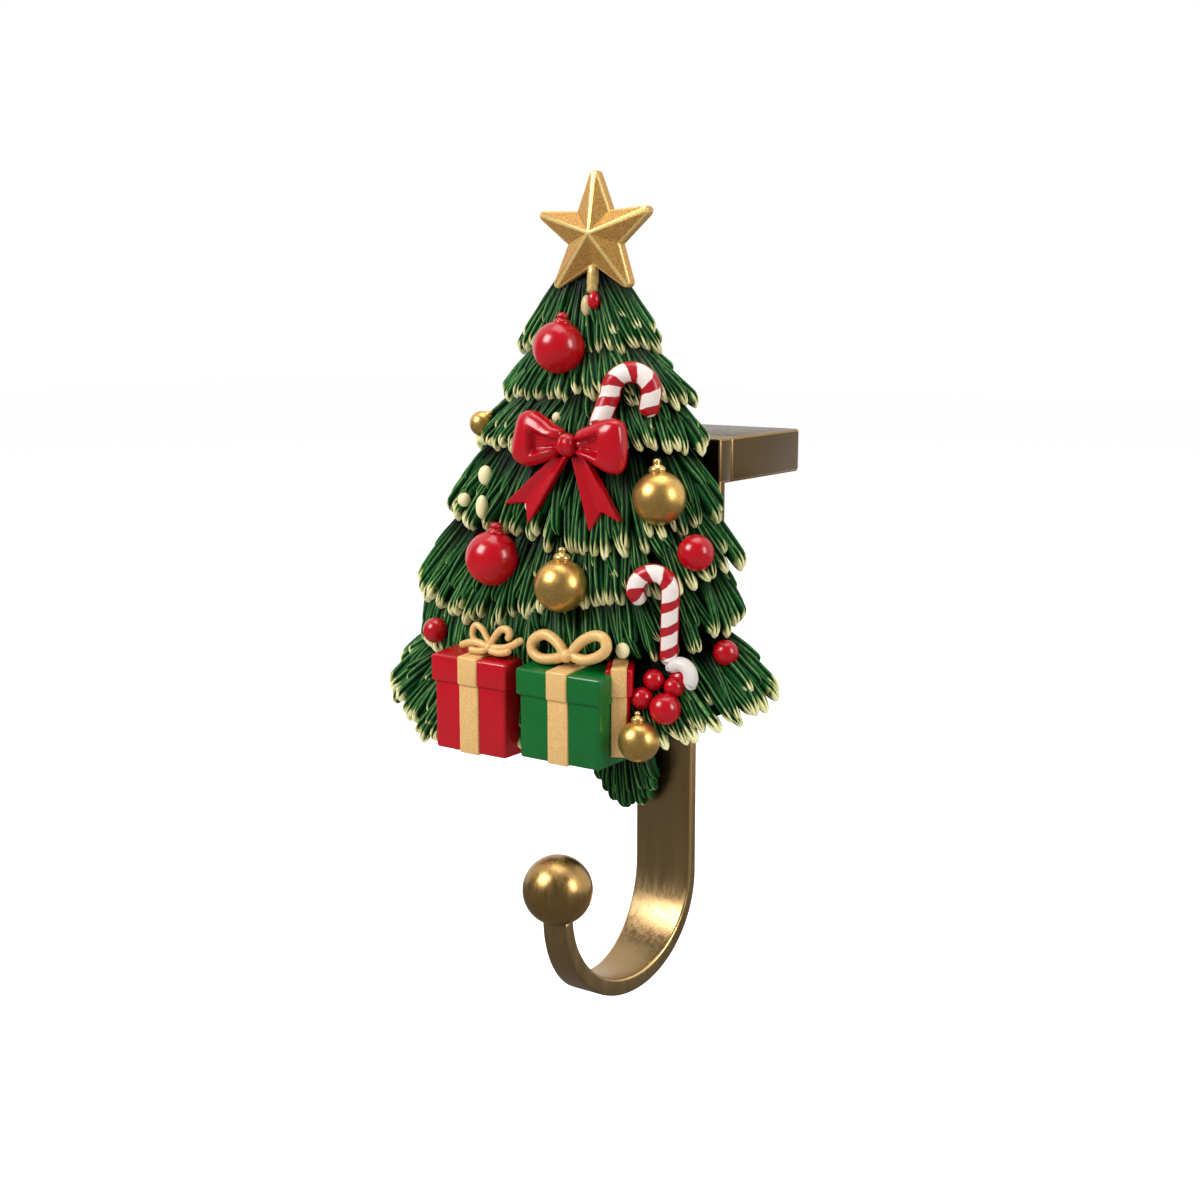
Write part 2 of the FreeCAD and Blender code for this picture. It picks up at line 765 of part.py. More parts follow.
def make_tree_figure():
    """The whole figure, cast in one piece with its ornaments."""
    foliage = []
    for index in range(len(bough_rows)):
        foliage += make_bough_row(index)
    tree = foliage[0].multiFuse(foliage[1:])
    tree_top = bough_rows[0][0] + crown_rise
    tree_bottom = bough_rows[-1][0] + bough_rows[-1][2]
    reach = widest_row + abs(figure_x)
    behind = box_between(
        Vector(-2 * reach, figure_back, 2 * tree_bottom),
        Vector(2 * reach, figure_back + widest_row, 2 * tree_top),
    )
    tree = tree.cut(behind)
    added = make_star() + make_berries() + make_bow() + make_curl() + make_tuft()
    for x, z, radius, slant in baubles:
        added += make_bauble(x, z, radius, slant)
    added += make_cane(upper_cane, upper_cane_radius)
    added += make_cane(lower_cane, lower_cane_radius)
    added += make_gift(red_gift, gift_front, ribbon_width, red_gift_bow)
    added += make_gift(green_gift, gift_front, ribbon_width, green_gift_bow)
    rear_front = gift_front + rear_gift_setback
    added += make_gift(rear_gift, rear_front, rear_ribbon_width, turn=rear_gift_turn)
    added.append(make_back_pad())
    tree = tree.multiFuse(added)
    for z in (upper_screw_z, lower_screw_z):
        tree = tree.cut(screw_body(z, 0))
    return tree


os.makedirs("parts", exist_ok=True)
save(make_hook_strap(), "hook_strap")
save(make_mantel_block(), "mantel_block")
save(make_hook_ball(), "hook_ball")
save(pad_shape(0), "grip_pad")
save(make_figure_screws(), "figure_screws")
save(make_tree_figure(), "tree_figure")
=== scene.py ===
import math
import random

import bmesh
import bpy
from mathutils import Matrix, Vector


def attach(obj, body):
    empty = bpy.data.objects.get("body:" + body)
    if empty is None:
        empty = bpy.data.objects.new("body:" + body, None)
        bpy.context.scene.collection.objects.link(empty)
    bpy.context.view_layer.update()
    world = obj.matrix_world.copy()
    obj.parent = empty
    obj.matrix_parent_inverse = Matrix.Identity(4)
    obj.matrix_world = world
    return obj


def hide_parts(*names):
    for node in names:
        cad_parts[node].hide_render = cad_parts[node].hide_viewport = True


# Looks of the mantel stocking holder. Lengths are millimetres in the same layout as the part:
# X along the mantel, Y back from the strap's front, Z up from the mantel block's underside.
# add_piece() moves and scales each finished mesh into the scene's frame, in metres.

SCALE = 0.001
ORIGIN = Vector((0.0, 21.25, -0.5))
CHANCE = random.Random(7)
# Where the painter looked from: the front and a little to the right
PAINTER_SIDE = Vector((0.5, -0.85, 0.1)).normalized()
# The hook's bright edges, wear with painted highlight, fade out between these places towards its tip
TIP_WEAR_AND_HIGHLIGHT = (-38.0, -14.0)


# ---------------------------------------------------------------- bracket sizes
BLOCK = (28.8, 32.5, 10.1)
BLOCK_CORNER = 2.0
METAL_EDGE = 0.6
HEAD_THICKNESS = 5.0
STRAP_THICKNESS = 2.6
PLATE_BOTTOM = -34.0
SHOULDER_BOTTOM = -58.0
STRAP_HALF_WIDTH = 7.7
TIP_HALF_WIDTH = 3.0
TIP_THICKNESS = 3.0
BEND_RADIUS = 20.0
BEND_CENTRE_Z = -90.2
BEND_THICKNESS = 3.8
BALL_RADIUS = 7.6
BALL_CENTRE = Vector((0.0, -41.5, -84.7))

# ---------------------------------------------------------------- tree sizes
FIGURE_X = -13.0
FIGURE_BACK = -8.0
# Rows of boughs from the top down: lip height, rise of the lip to the right, hang of the
# lip at the front, half width, depth and shift of the row's middle
ROWS = [
    (29.3, 0.0, -1.5, 19.8, 7.5, -1.5),
    (18.8, 0.3, -0.5, 26.3, 12.0, 0.7),
    (8.9, 0.3, -1.0, 31.4, 15.5, -1.3),
    (-5.3, 0.8, -6.0, 37.6, 18.0, -3.8),
    (-20.0, 5.2, -8.0, 45.6, 20.5, -6.2),
    (-33.5, 5.0, -7.0, 43.5, 22.0, -3.5),
    (-46.3, 4.2, -14.5, 54.6, 23.5, -5.8),
]
CROWN_HALF_WIDTH = 4.2
CROWN_DEPTH = 2.0
CROWN_RISE = 19.0
ROW_OVERLAP = 4.0
ROW_STEP = 9.5
ROW_INSET = 5.0
SEAT_RISE = 1.0
BACK_PAD = ((-8.0, FIGURE_BACK - 2, -52.0), (8.0, -0.02, 3.0))
BACK_PAD_CORNER = 3.0


def smooth_step(low, high, value):
    """0 below low, 1 above high and an even ramp between."""
    share = min(max((value - low) / (high - low), 0.0), 1.0)
    return share * share * (3 - 2 * share)


def row_top(index):
    """Half width, depth, shift and rise above the lip of the ring where a row of boughs starts."""
    if index == 0:
        return CROWN_HALF_WIDTH, CROWN_DEPTH, ROWS[0][5], CROWN_RISE
    lip, tilt, hang, half, depth, shift = ROWS[index - 1]
    return half - ROW_STEP, depth - ROW_INSET, shift, lip - ROWS[index][0] + ROW_OVERLAP


def row_point(index, angle, reach, lift, inset=0.0):
    """A point on a row's slope. Angle 0 is the right side and pi the left side, and reach
    goes from 0 where the row starts to 1 at its lip."""
    lip, tilt, hang, half, depth, shift = ROWS[index]
    top_half, top_depth, top_shift, rise = row_top(index)
    across = (top_half + (half - top_half) * reach - inset) * math.cos(angle)
    forward = (top_depth + (depth - top_depth) * reach - inset) * math.sin(angle)
    middle = FIGURE_X + top_shift + (shift - top_shift) * reach
    height = lip + rise * (1 - reach) + lift + tilt * across / half + hang * forward / depth
    return Vector((middle + across, FIGURE_BACK - forward, height))


def boughs_front(x, z):
    """How far forward the boughs reach at a place on the tree's front."""
    front = FIGURE_BACK
    steps = 80
    for index, (lip, tilt, hang, half, depth, shift) in enumerate(ROWS):
        top_half, top_depth, top_shift, rise = row_top(index)
        for step in range(steps + 1):
            reach = step / steps
            across = x - FIGURE_X - top_shift - (shift - top_shift) * reach
            side = across / (top_half + (half - top_half) * reach)
            if abs(side) > 1:
                continue
            forward = (top_depth + (depth - top_depth) * reach) * math.sqrt(1 - side ** 2)
            height = lip + rise * (1 - reach) + tilt * across / half + hang * forward / depth
            if abs(height - z) < rise / steps:
                front = min(front, FIGURE_BACK - forward)
    return front


def seat(x, z):
    """Where an ornament touches the ridges of the boughs."""
    return boughs_front(x, z) - SEAT_RISE


# ---------------------------------------------------------------- modelling helpers
def add_piece(name, bm, materials, replaced="tree_figure", smooth=True):
    """Turn a finished bmesh into a piece that rides on the holder and stands for a CAD node."""
    bmesh.ops.recalc_face_normals(bm, faces=bm.faces)
    bm.transform(Matrix.Scale(SCALE, 4) @ Matrix.Translation(-ORIGIN))
    mesh = bpy.data.meshes.new(name)
    bm.to_mesh(mesh)
    bm.free()
    for material in materials:
        mesh.materials.append(material)
    for polygon in mesh.polygons:
        polygon.use_smooth = smooth
    piece = bpy.data.objects.new(name, mesh)
    bpy.context.scene.collection.objects.link(piece)
    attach(piece, "root")
    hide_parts(replaced)
    return piece


def layers(bm, *names):
    """Float attributes of the vertices, which the materials read. Ask before adding vertices."""
    stores = bm.verts.layers.float
    for name in names:
        if stores.get(name) is None:
            stores.new(name)
    return [stores.get(name) for name in names]


def ball(bm, centre, radius, stretch=(1, 1, 1), segments=40):
    """A round ball, or an egg when it is stretched along an axis."""
    size = Matrix.Diagonal((*[radius * s for s in stretch], 1))
    made = bmesh.ops.create_uvsphere(
        bm, u_segments=segments, v_segments=segments // 2, radius=1,
        matrix=Matrix.Translation(centre) @ size,
    )
    return made["verts"]


def rounded_box(bm, low, high, edge, segments=3, material=-1):
    """A block between two corners with eased edges, which may have their own material."""
    low, high = Vector(low), Vector(high)
    size = high - low
    made = bmesh.ops.create_cube(
        bm, size=1, matrix=Matrix.Translation((low + high) / 2) @ Matrix.Diagonal((*size, 1))
    )
    edges = list({e for v in made["verts"] for e in v.link_edges})
    bmesh.ops.bevel(
        bm, geom=edges, offset=edge, segments=segments, profile=0.5, affect="EDGES", material=material,
    )


def lathe(bm, profile, matrix, steps=32):
    """Spin a profile of (radius, height) points about its axis."""
    verts = [bm.verts.new((radius, 0, height)) for radius, height in profile]
    edges = [bm.edges.new(pair) for pair in zip(verts, verts[1:])]
    made = bmesh.ops.spin(
        bm, geom=verts + edges, axis=(0, 0, 1), cent=(0, 0, 0), angle=2 * math.pi,
        steps=steps, use_merge=True,
    )
    fresh = list({v for v in made["geom_last"] if isinstance(v, bmesh.types.BMVert)} | set(verts))
    linked = set(fresh)
    waiting = list(fresh)
    while waiting:
        for edge in waiting.pop().link_edges:
            for vert in edge.verts:
                if vert not in linked:
                    linked.add(vert)
                    waiting.append(vert)
    bmesh.ops.remove_doubles(bm, verts=list(linked), dist=0.001)
    linked = [v for v in linked if v.is_valid]
    bmesh.ops.transform(bm, matrix=matrix, verts=linked)
    return linked


def section(half_across, half_out, corner, sides):
    """Points round a rectangle with round corners, or round a circle when corner is a half,
    each with how near a corner it is. The first and last points are at the back."""
    points = []
    if corner >= half_across and corner >= half_out:
        for n in range(sides):
            turn = 2 * math.pi * n / sides - math.pi / 2
            points.append((corner * math.cos(turn), corner * math.sin(turn), 0.0))
        return points
    per_corner = sides // 4
    for quarter in range(4):
        sign_a = 1 if quarter in (0, 3) else -1
        sign_o = 1 if quarter in (0, 1) else -1
        for step in range(per_corner):
            turn = math.pi / 2 * (quarter + step / max(per_corner - 1, 1) * 0.999)
            across = sign_a * (half_across - corner) + corner * math.cos(turn)
            out = sign_o * (half_out - corner) + corner * math.sin(turn)
            points.append((across, out, abs(math.sin(2 * turn))))
    return points


def sweep(bm, stations, sides=16, closed=False):
    """Bridge sections set along a line. A station is (point, across, outward, half across,
    half outward, corner). Writes how far along and how near a corner each vertex is, and how
    far it faces the painter."""
    along_layer, edge_layer, round_layer, front_layer = layers(bm, "along", "edge", "round", "front")
    rings = []
    travelled = 0.0
    for i, (point, across, outward, half_across, half_out, corner) in enumerate(stations):
        if i:
            travelled += (point - stations[i - 1][0]).length
        ring = bmesh.ops.create_circle(bm, segments=sides, radius=1)["verts"]
        places = section(half_across, half_out, corner, sides)
        for n, (vert, (a, o, near_corner)) in enumerate(zip(ring, places)):
            vert.co = point + across * a + outward * o
            vert[along_layer] = travelled
            # Corners get the bright edge paint, wear with painted highlight, fading out towards the tip.
            vert[edge_layer] = near_corner * smooth_step(TIP_WEAR_AND_HIGHLIGHT[0], TIP_WEAR_AND_HIGHLIGHT[1], point.y)
            vert[round_layer] = n / sides
            vert[front_layer] = (vert.co - point).normalized().dot(PAINTER_SIDE)
        rings.append(ring)
    pairs = list(zip(rings, rings[1:]))
    if closed:
        pairs.append((rings[-1], rings[0]))
    for lower, upper in pairs:
        for n in range(sides):
            m = (n + 1) % sides
            bm.faces.new((lower[n], lower[m], upper[m], upper[n]))
    if not closed:
        bm.faces.new(rings[0])
        bm.faces.new(list(reversed(rings[-1])))
    return [v for ring in rings for v in ring]


def smooth_line(points, per_span=8, closed=False):
    """Points along a smooth line through the given points."""
    count = len(points)
    line = []
    spans = count if closed else count - 1
    for i in range(spans):
        if closed:
            p0, p1, p2, p3 = (points[(i + k) % count] for k in (-1, 0, 1, 2))
        else:
            p0, p1, p2, p3 = (points[min(max(i + k, 0), count - 1)] for k in (-1, 0, 1, 2))
        for step in range(per_span):
            t = step / per_span
            line.append(0.5 * (
                2 * p1 + (p2 - p0) * t + (2 * p0 - 5 * p1 + 4 * p2 - p3) * t ** 2
                + (3 * p1 - p0 - 3 * p2 + p3) * t ** 3
            ))
    if not closed:
        line.append(points[-1].copy())
    return line


def cord(bm, points, radius, sides=16, closed=False, ends=True, facing=Vector((0, -1, 0))):
    """A round cord along a line of points, with rounded ends."""
    count = len(points)
    stations = []
    for i, point in enumerate(points):
        before = points[i - 1] if closed or i else points[0]
        after = points[(i + 1) % count] if closed else points[min(i + 1, count - 1)]
        along = (after - before).normalized()
        across = along.cross(facing).normalized()
        outward = across.cross(along).normalized()
        size = radius
        if ends and not closed:
            to_end = min((point - points[0]).length, (point - points[-1]).length)
            if to_end < radius:
                size = radius * math.sqrt(max(1 - (1 - to_end / radius) ** 2, 0.02))
        stations.append((point, across, outward, size, size, size))
    return sweep(bm, stations, sides, closed)


def dense_ends(points, radius):
    """The same line with extra points near both ends, so that its ends can be round."""
    def cap(end, inner):
        direction = (inner - end).normalized()
        return [end + direction * radius * share for share in (0.0, 0.06, 0.2, 0.45, 0.75)]

    return cap(points[0], points[1]) + points[1:-1] + list(reversed(cap(points[-1], points[-2])))


def pillow(bm, outline, centre, front, back, rings=14, sides=56, fullness=2.4):
    """A rounded cushion form over an outline of (x, z) points round a centre (x, z)."""
    flat = smooth_line([Vector((x, 0, z)) for x, z in outline], per_span=4, closed=True)
    middle = Vector((centre[0], 0, centre[1]))
    reach_by_turn = sorted(
        (math.atan2(p.z - middle.z, p.x - middle.x), (p - middle).length) for p in flat
    )
    made = bmesh.ops.create_uvsphere(bm, u_segments=sides, v_segments=2 * rings, radius=1)["verts"]
    for vert in made:
        depth, flat_x, flat_z = vert.co.z, vert.co.x, vert.co.y
        turn = math.atan2(flat_z, flat_x)
        share = min(math.acos(min(abs(depth), 1.0)) / (math.pi / 2), 1.0)
        reach = reach_at(reach_by_turn, turn)
        height = (1 - share ** fullness) ** (1 / fullness)
        y = -front * height if depth > 0 else back * height
        vert.co = middle + Vector((reach * share * math.cos(turn), y, reach * share * math.sin(turn)))
    return made


def reach_at(reach_by_turn, turn):
    """Distance from the middle to an outline in one direction."""
    wrapped = [(reach_by_turn[-1][0] - 2 * math.pi, reach_by_turn[-1][1])] + reach_by_turn
    wrapped.append((reach_by_turn[0][0] + 2 * math.pi, reach_by_turn[0][1]))
    for (turn_a, reach_a), (turn_b, reach_b) in zip(wrapped, wrapped[1:]):
        if turn_a <= turn <= turn_b:
            share = (turn - turn_a) / max(turn_b - turn_a, 1e-9)
            return reach_a + (reach_b - reach_a) * share
    return reach_by_turn[0][1]


# ---------------------------------------------------------------- material helpers
class Shader:
    """A material whose nodes are added one call at a time."""

    def __init__(self, name, **values):
        self.material = bpy.data.materials.new(name)
        self.material.use_nodes = True
        self.tree = self.material.node_tree
        self.surface = self.tree.nodes["Principled BSDF"]
        for socket, value in values.items():
            self.set(self.surface, socket.replace("_", " "), value)

    def set(self, node, socket, value):
        target = node.inputs[socket]
        if isinstance(value, bpy.types.NodeSocket):
            self.tree.links.new(value, target)
        else:
            target.default_value = value

    def add(self, kind, output=0, settings=None, **values):
        node = self.tree.nodes.new(kind)
        for key, value in (settings or {}).items():
            setattr(node, key, value)
        for socket, value in values.items():
            self.set(node, int(socket[1:]) if socket[1:].isdigit() else socket.replace("_", " "), value)
        return node.outputs[output]

    def read(self, name):
        """A float attribute of the mesh."""
        return self.add("ShaderNodeAttribute", "Fac", {"attribute_name": name})

    def math(self, operation, a, b=0.0, c=0.0):
        settings = {"operation": operation}
        return self.add("ShaderNodeMath", 0, settings, _0=a, _1=b, _2=c)

    def ramp(self, value, low, high, start=0.0, end=1.0):
        """A smooth change from start to end while value goes from low to high."""
        node = self.tree.nodes.new("ShaderNodeMapRange")
        node.interpolation_type = "SMOOTHSTEP"
        for socket, item in zip(range(5), (value, low, high, start, end)):
            self.set(node, socket, item)
        return node.outputs[0]

    def mix(self, factor, a, b):
        node = self.tree.nodes.new("ShaderNodeMix")
        node.data_type = "RGBA"
        self.set(node, 0, factor)
        self.set(node, 6, a)
        self.set(node, 7, b)
        return node.outputs[2]

    def noise(self, scale, detail=3.0, stretch=(1, 1, 1)):
        """Noise fixed to the object, in cycles per metre, drawn out along an axis."""
        place = self.add("ShaderNodeTexCoord", "Object")
        scaled = self.add("ShaderNodeMapping", 0, None, Vector=place, Scale=stretch)
        return self.add("ShaderNodeTexNoise", 0, None, Vector=scaled, Scale=scale, Detail=detail)

    def bump(self, height, strength, distance):
        normal = self.add("ShaderNodeBump", 0, None, Height=height, Strength=strength, Distance=distance)
        self.set(self.surface, "Normal", normal)


def colour(red, green, blue):
    """A colour written as it looks on screen, 0 to 255, in the linear values a shader takes."""
    def linear(value):
        value /= 255
        return value / 12.92 if value <= 0.04045 else ((value + 0.055) / 1.055) ** 2.4

    return (linear(red), linear(green), linear(blue), 1.0)


def foliage_paint():
    """Dark varnished green: ridges dry-brushed lighter and brightened further as painted highlight, pale dry-brushed
    tips, and painted shade in the grooves, under the fingers and at the roots.
    """
    shader = Shader("foliage_paint", Roughness=0.40, Specular_IOR_Level=0.1)
    ridge, tip, tone = shader.read("ridge"), shader.read("tip"), shader.read("tone")
    streak = shader.noise(1100, 3, (1, 1, 0.22))
    # Painted light and shade: the ridges are dry-brushed lighter and brightened as painted highlight, while the grooves
    # and the fingers' undersides take a near-black green, the dark base coat deepened as painted shade.
    ridge_brush_and_highlight = shader.math("ADD", ridge, shader.math("MULTIPLY", streak, 0.8))
    groove_base_and_shade = shader.mix(tone, colour(4, 18, 8), colour(7, 26, 12))
    middle = shader.mix(tone, colour(18, 80, 34), colour(36, 102, 48))
    light = shader.mix(tone, colour(88, 136, 76), colour(138, 172, 104))
    green = shader.mix(shader.ramp(ridge_brush_and_highlight, -0.2, 0.8), groove_base_and_shade, middle)
    green = shader.mix(shader.ramp(ridge_brush_and_highlight, 0.85, 1.4), green, light)
    # Painted shade: the roots of each row, under the lip of the row above, darken to near black.
    shaded = shader.ramp(shader.read("share"), 0.26, 0.82)
    green = shader.mix(shaded, colour(3, 12, 6), green)
    reach = shader.math("ADD", tip, shader.math("MULTIPLY", ridge, 0.05))
    reach = shader.math("ADD", reach, shader.math("MULTIPLY", streak, 0.14))
    reach = shader.math("ADD", reach, shader.math("MULTIPLY", tone, 0.05))
    cream = shader.mix(shader.ramp(reach, 0.98, 1.08), colour(200, 202, 128), colour(250, 243, 192))
    painted = shader.mix(shader.ramp(reach, 0.95, 1.03), green, cream)
    shader.set(shader.surface, "Base Color", painted)
    shader.bump(shader.noise(1500, 4, (1, 1, 0.3)), 0.4, 0.0002)
    return shader.material


def core_base_and_shade_paint():
    """The near-black paint in the depths between the boughs: the dark base coat, deepened as painted shade."""
    shader = Shader("core_base_and_shade_paint", Roughness=0.9, Specular_IOR_Level=0.0)
    shader.set(shader.surface, "Base Color", shader.mix(
        shader.noise(500, 3), colour(3, 10, 5), colour(9, 26, 14)))
    return shader.material


def gloss_paint(name, dark, bright, roughness=0.24):
    """Glossy hand paint with a little unevenness."""
    shader = Shader(name, Roughness=roughness, Specular_IOR_Level=0.55)
    shader.set(shader.surface, "Base Color", shader.mix(shader.noise(160, 3), dark, bright))
    shader.bump(shader.noise(420, 3), 0.08, 0.0003)
    return shader.material


def gold_paint(name, dark, bright, roughness, metallic, grain=0.25):
    """Satin gold paint with a fine grain."""
    shader = Shader(name, Metallic=metallic)
    grain_noise = shader.noise(2600, 2)
    shader.set(shader.surface, "Base Color", shader.mix(
        shader.ramp(grain_noise, 0.35, 0.65), dark, bright))
    shader.set(shader.surface, "Roughness", shader.ramp(
        shader.noise(500, 3), 0.3, 0.7, roughness - 0.04, roughness + 0.04))
    shader.bump(grain_noise, grain, 0.00012)
    return shader.material


def striped_sugar():
    """White bands painted on the front of a red cane, wound round it."""
    shader = Shader("striped_sugar", Roughness=0.3)
    along, turn, front = shader.read("along"), shader.read("round"), shader.read("front")
    wobble = shader.math("MULTIPLY", shader.noise(420, 3), 0.18)
    phase = shader.math("ADD", shader.math("DIVIDE", along, 5.3), turn)
    phase = shader.math("FRACT", shader.math("ADD", phase, wobble))
    band = shader.math("MULTIPLY", shader.ramp(phase, 0.36, 0.42), shader.ramp(phase, 1.0, 0.96))
    facing = shader.ramp(shader.math("ADD", front, wobble), 0.50, 0.60)
    white = shader.math("MULTIPLY", band, facing)
    shader.set(shader.surface, "Base Color", shader.mix(white, colour(170, 8, 26), colour(230, 218, 210)))
    shader.bump(white, 0.5, 0.0001)
    return shader.material


def antique_brass(name, flat_dark, flat_light, wear_and_highlight_colour, wear_and_highlight_share=1.0, roughness=0.36):
    """Darkened brass, brushed along its length and bright on its edges: wear, with painted highlight on their rounding.
    """
    shader = Shader(name, Metallic=1.0)
    brushed = shader.noise(900, 4, (1, 1, 0.03))
    cloud = shader.noise(90, 3)
    flat = shader.mix(shader.math("MULTIPLY", shader.math("ADD", brushed, cloud), 0.55), flat_dark, flat_light)
    edge = shader.math("ADD", shader.math("MULTIPLY", shader.read("edge"), wear_and_highlight_share), shader.math("MULTIPLY", brushed, 0.3))
    shader.set(shader.surface, "Base Color", shader.mix(shader.ramp(edge, 0.35, 0.95), flat, wear_and_highlight_colour))
    shader.set(shader.surface, "Roughness", shader.ramp(brushed, 0.3, 0.7, roughness - 0.06, roughness + 0.06))
    shader.bump(brushed, 0.2, 0.0001)
    return shader.material


def plain_paint(name, tone, roughness, metallic=0.0):
    shader = Shader(name, Base_Color=tone, Roughness=roughness, Metallic=metallic)
    return shader.material


# ---------------------------------------------------------------- foliage
FINGER_SIDES = 24
FINGER_RINGS = 14
FINGER_SPACING = 2.55
# Layers of fingers in a row: spacing as a share of FINGER_SPACING, least and most reach, how
# far out they lie, sway of the tip's height, and the share of them with pale tips
LAYERS = [(0.95, 0.97, 1.05, 0.0, 1.0, 1.0), (1.4, 0.62, 0.88, 0.6, 0.5, 0.35)]
LAST_ROW_SPACING = 0.78
DARK_TIP = 0.85
# Fingers stand in clumps that fan out: least and most in one, how wide its roots and its tips
# spread, how its outer fingers curve, and how much shorter and lower they are
CLUMP = (2, 4)
CLUMP_ROOTS = 0.62
CLUMP_TIPS = 1.12
CLUMP_CURVE = 0.16
CLUMP_SHORTER = 1.1
CLUMP_LOWER = 0.5
# Where a row's lip hangs lower than its line: row, middle across, half width and extra reach
SAGS = [(3, -1.0, 15.0, 0.2), (4, -30.0, 14.0, 0.13), (6, -20.0, 13.0, -0.12)]
# Where tips stand off their line: row, middle across, half width, and the way across and up
NUDGES = [(6, -66.0, 9.0, 0.0, 2.4), (5, -57.0, 7.0, -1.3, 0.2), (4, -46.0, 6.0, -0.8, 0.8)]
# Rows whose tips are painted without their pale cream, as painted shade of the gifts: row, left and right
SHADED_TIPS = (5, -42.0, 12.0)


def finger_blank():
    """The round blank that every finger is shaped from."""
    bm = bmesh.new()
    bmesh.ops.create_uvsphere(bm, u_segments=FINGER_SIDES, v_segments=FINGER_RINGS, radius=1)
    mesh = bpy.data.meshes.new("finger_blank")
    bm.to_mesh(mesh)
    bm.free()
    return mesh


def finger(bm, blank, root, tip, outward, width, height, under, ridges, tone, cream=1.0, curve=0.0):
    """One bough: a rounded finger with needle ridges along it, thick and blunt at its tip."""
    along = tip - root
    length = along.length
    direction = along.normalized()
    across = direction.cross(outward).normalized()
    up = across.cross(direction).normalized()
    sway = CHANCE.uniform(-0.07, 0.07) * length
    swell = CHANCE.uniform(0.0, 0.9)
    phase = CHANCE.uniform(0, 2 * math.pi)
    ridge_layer, tip_layer, tone_layer, share_layer = layers(bm, "ridge", "tip", "tone", "share")
    before = len(bm.verts)
    bm.from_mesh(blank)
    bm.verts.ensure_lookup_table()
    top_share = 0.75
    for vert in bm.verts[before:]:
        down = math.acos(max(min(vert.co.z, 1.0), -1.0)) / math.pi
        share = 1 - (1 - down) ** 1.5
        turn = (math.atan2(vert.co.y, vert.co.x) / (2 * math.pi)) % 1.0
        on_top = turn < top_share
        if on_top:
            side = -math.cos(math.pi * turn / top_share)
        else:
            side = math.cos(math.pi * (turn - top_share) / (1 - top_share))
        blunt = math.sqrt(max(1 - max((share - 0.88) / 0.12, 0.0) ** 2, 0.0))
        blunt *= math.sqrt(max(1 - max((0.1 - share) / 0.1, 0.0) ** 2, 0.0))
        wide = width / 2 * (1.0 - 0.22 * smooth_step(0.55, 1.0, share)) * blunt
        ridge = math.cos(math.pi * ridges * side + phase + 1.2 * math.sin(4 * share + phase))
        dome = math.sqrt(max(1 - abs(side) ** 2.2, 0.0))
        if on_top:
            rise = blunt * (height * dome + 0.32 * ridge * dome) - under * (1 - blunt * dome)
        else:
            rise = -under * (1 + 0.15 * dome * blunt)
        bow = swell * math.sin(math.pi * min(share, 1.0) ** 1.6)
        vert.co = (
            root + direction * (length * share)
            + across * (wide * side + sway * share ** 2 + curve * length * (share ** 2 - share))
            + up * (rise + bow)
        )
        # The undersides take the lowest ridge value, so they are painted in the grooves' near-black green as painted
        # shade.
        vert[ridge_layer] = ridge * dome if on_top else -1.0
        vert[tip_layer] = share * cream if on_top else share * cream - 0.3
        vert[tone_layer] = tone
        vert[share_layer] = share


def arc_lengths(half, depth, steps=360):
    """Lengths along a half ellipse at even steps of its angle."""
    lengths = [0.0]
    for i in range(steps):
        angle = math.pi * (i + 0.5) / steps
        step = math.hypot(half * math.sin(angle), depth * math.cos(angle)) * math.pi / steps
        lengths.append(lengths[-1] + step)
    return lengths


def angle_at(lengths, share):
    """The angle at which a share of a half ellipse's length is reached."""
    wanted = lengths[-1] * min(max(share, 0.0), 1.0)
    reached = next(i for i, length in enumerate(lengths) if length >= wanted - 1e-9)
    return math.pi * reached / (len(lengths) - 1)


def clump_places(count):
    """For each finger along a row: the shares its root and its tip stand at, and its place in
    its clump from -1 to 1."""
    places, done = [], 0
    while done < count:
        size = min(CHANCE.randint(*CLUMP), count - done)
        middle = done + size / 2
        for n in range(size):
            turn = 2 * (n + 0.5) / size - 1
            root = (middle + turn * size / 2 * CLUMP_ROOTS) / count
            tip = (middle + turn * size / 2 * CLUMP_TIPS + CHANCE.uniform(-0.2, 0.2)) / count
            tip = 0.5 + (tip - 0.5) * count / (count - 0.9)
            places.append((root, tip, turn))
        done += size
    return places


def make_core(index):
    """The dark body under a row of boughs: a slope, a thick lip and a roof over the row below."""
    core = bmesh.new()
    turns = [math.pi * n / 48 for n in range(49)]
    rings = [
        [row_point(index, turn, 0, 0) for turn in turns],
        [row_point(index, turn, 0.5, 0, 1.1) for turn in turns],
        [row_point(index, turn, 0.88, 0, 1.4) for turn in turns],
        [row_point(index, turn, 0.88, -0.5, 2.4) for turn in turns],
    ]
    if index + 1 < len(ROWS):
        rings.append([row_point(index + 1, turn, 0.06, 0, 0.8) for turn in turns])
    else:
        rings.append([row_point(index, turn, 0.9, 0.6, 8.0) for turn in turns])
    middles = [(ring[0] + ring[-1]) / 2 for ring in (rings[0], rings[-1])]
    rings = [[middles[0]] * len(turns)] + rings + [[middles[1]] * len(turns)]
    grid = bmesh.ops.create_grid(core, x_segments=48, y_segments=len(rings) - 1, size=1)["verts"]
    for vert in grid:
        turn = round((vert.co.x + 1) / 2 * 48)
        vert.co = rings[round((vert.co.y + 1) / 2 * (len(rings) - 1))][turn]
    bmesh.ops.remove_doubles(core, verts=core.verts, dist=0.001)
    bmesh.ops.holes_fill(core, edges=[e for e in core.edges if e.is_boundary], sides=0)
    return core


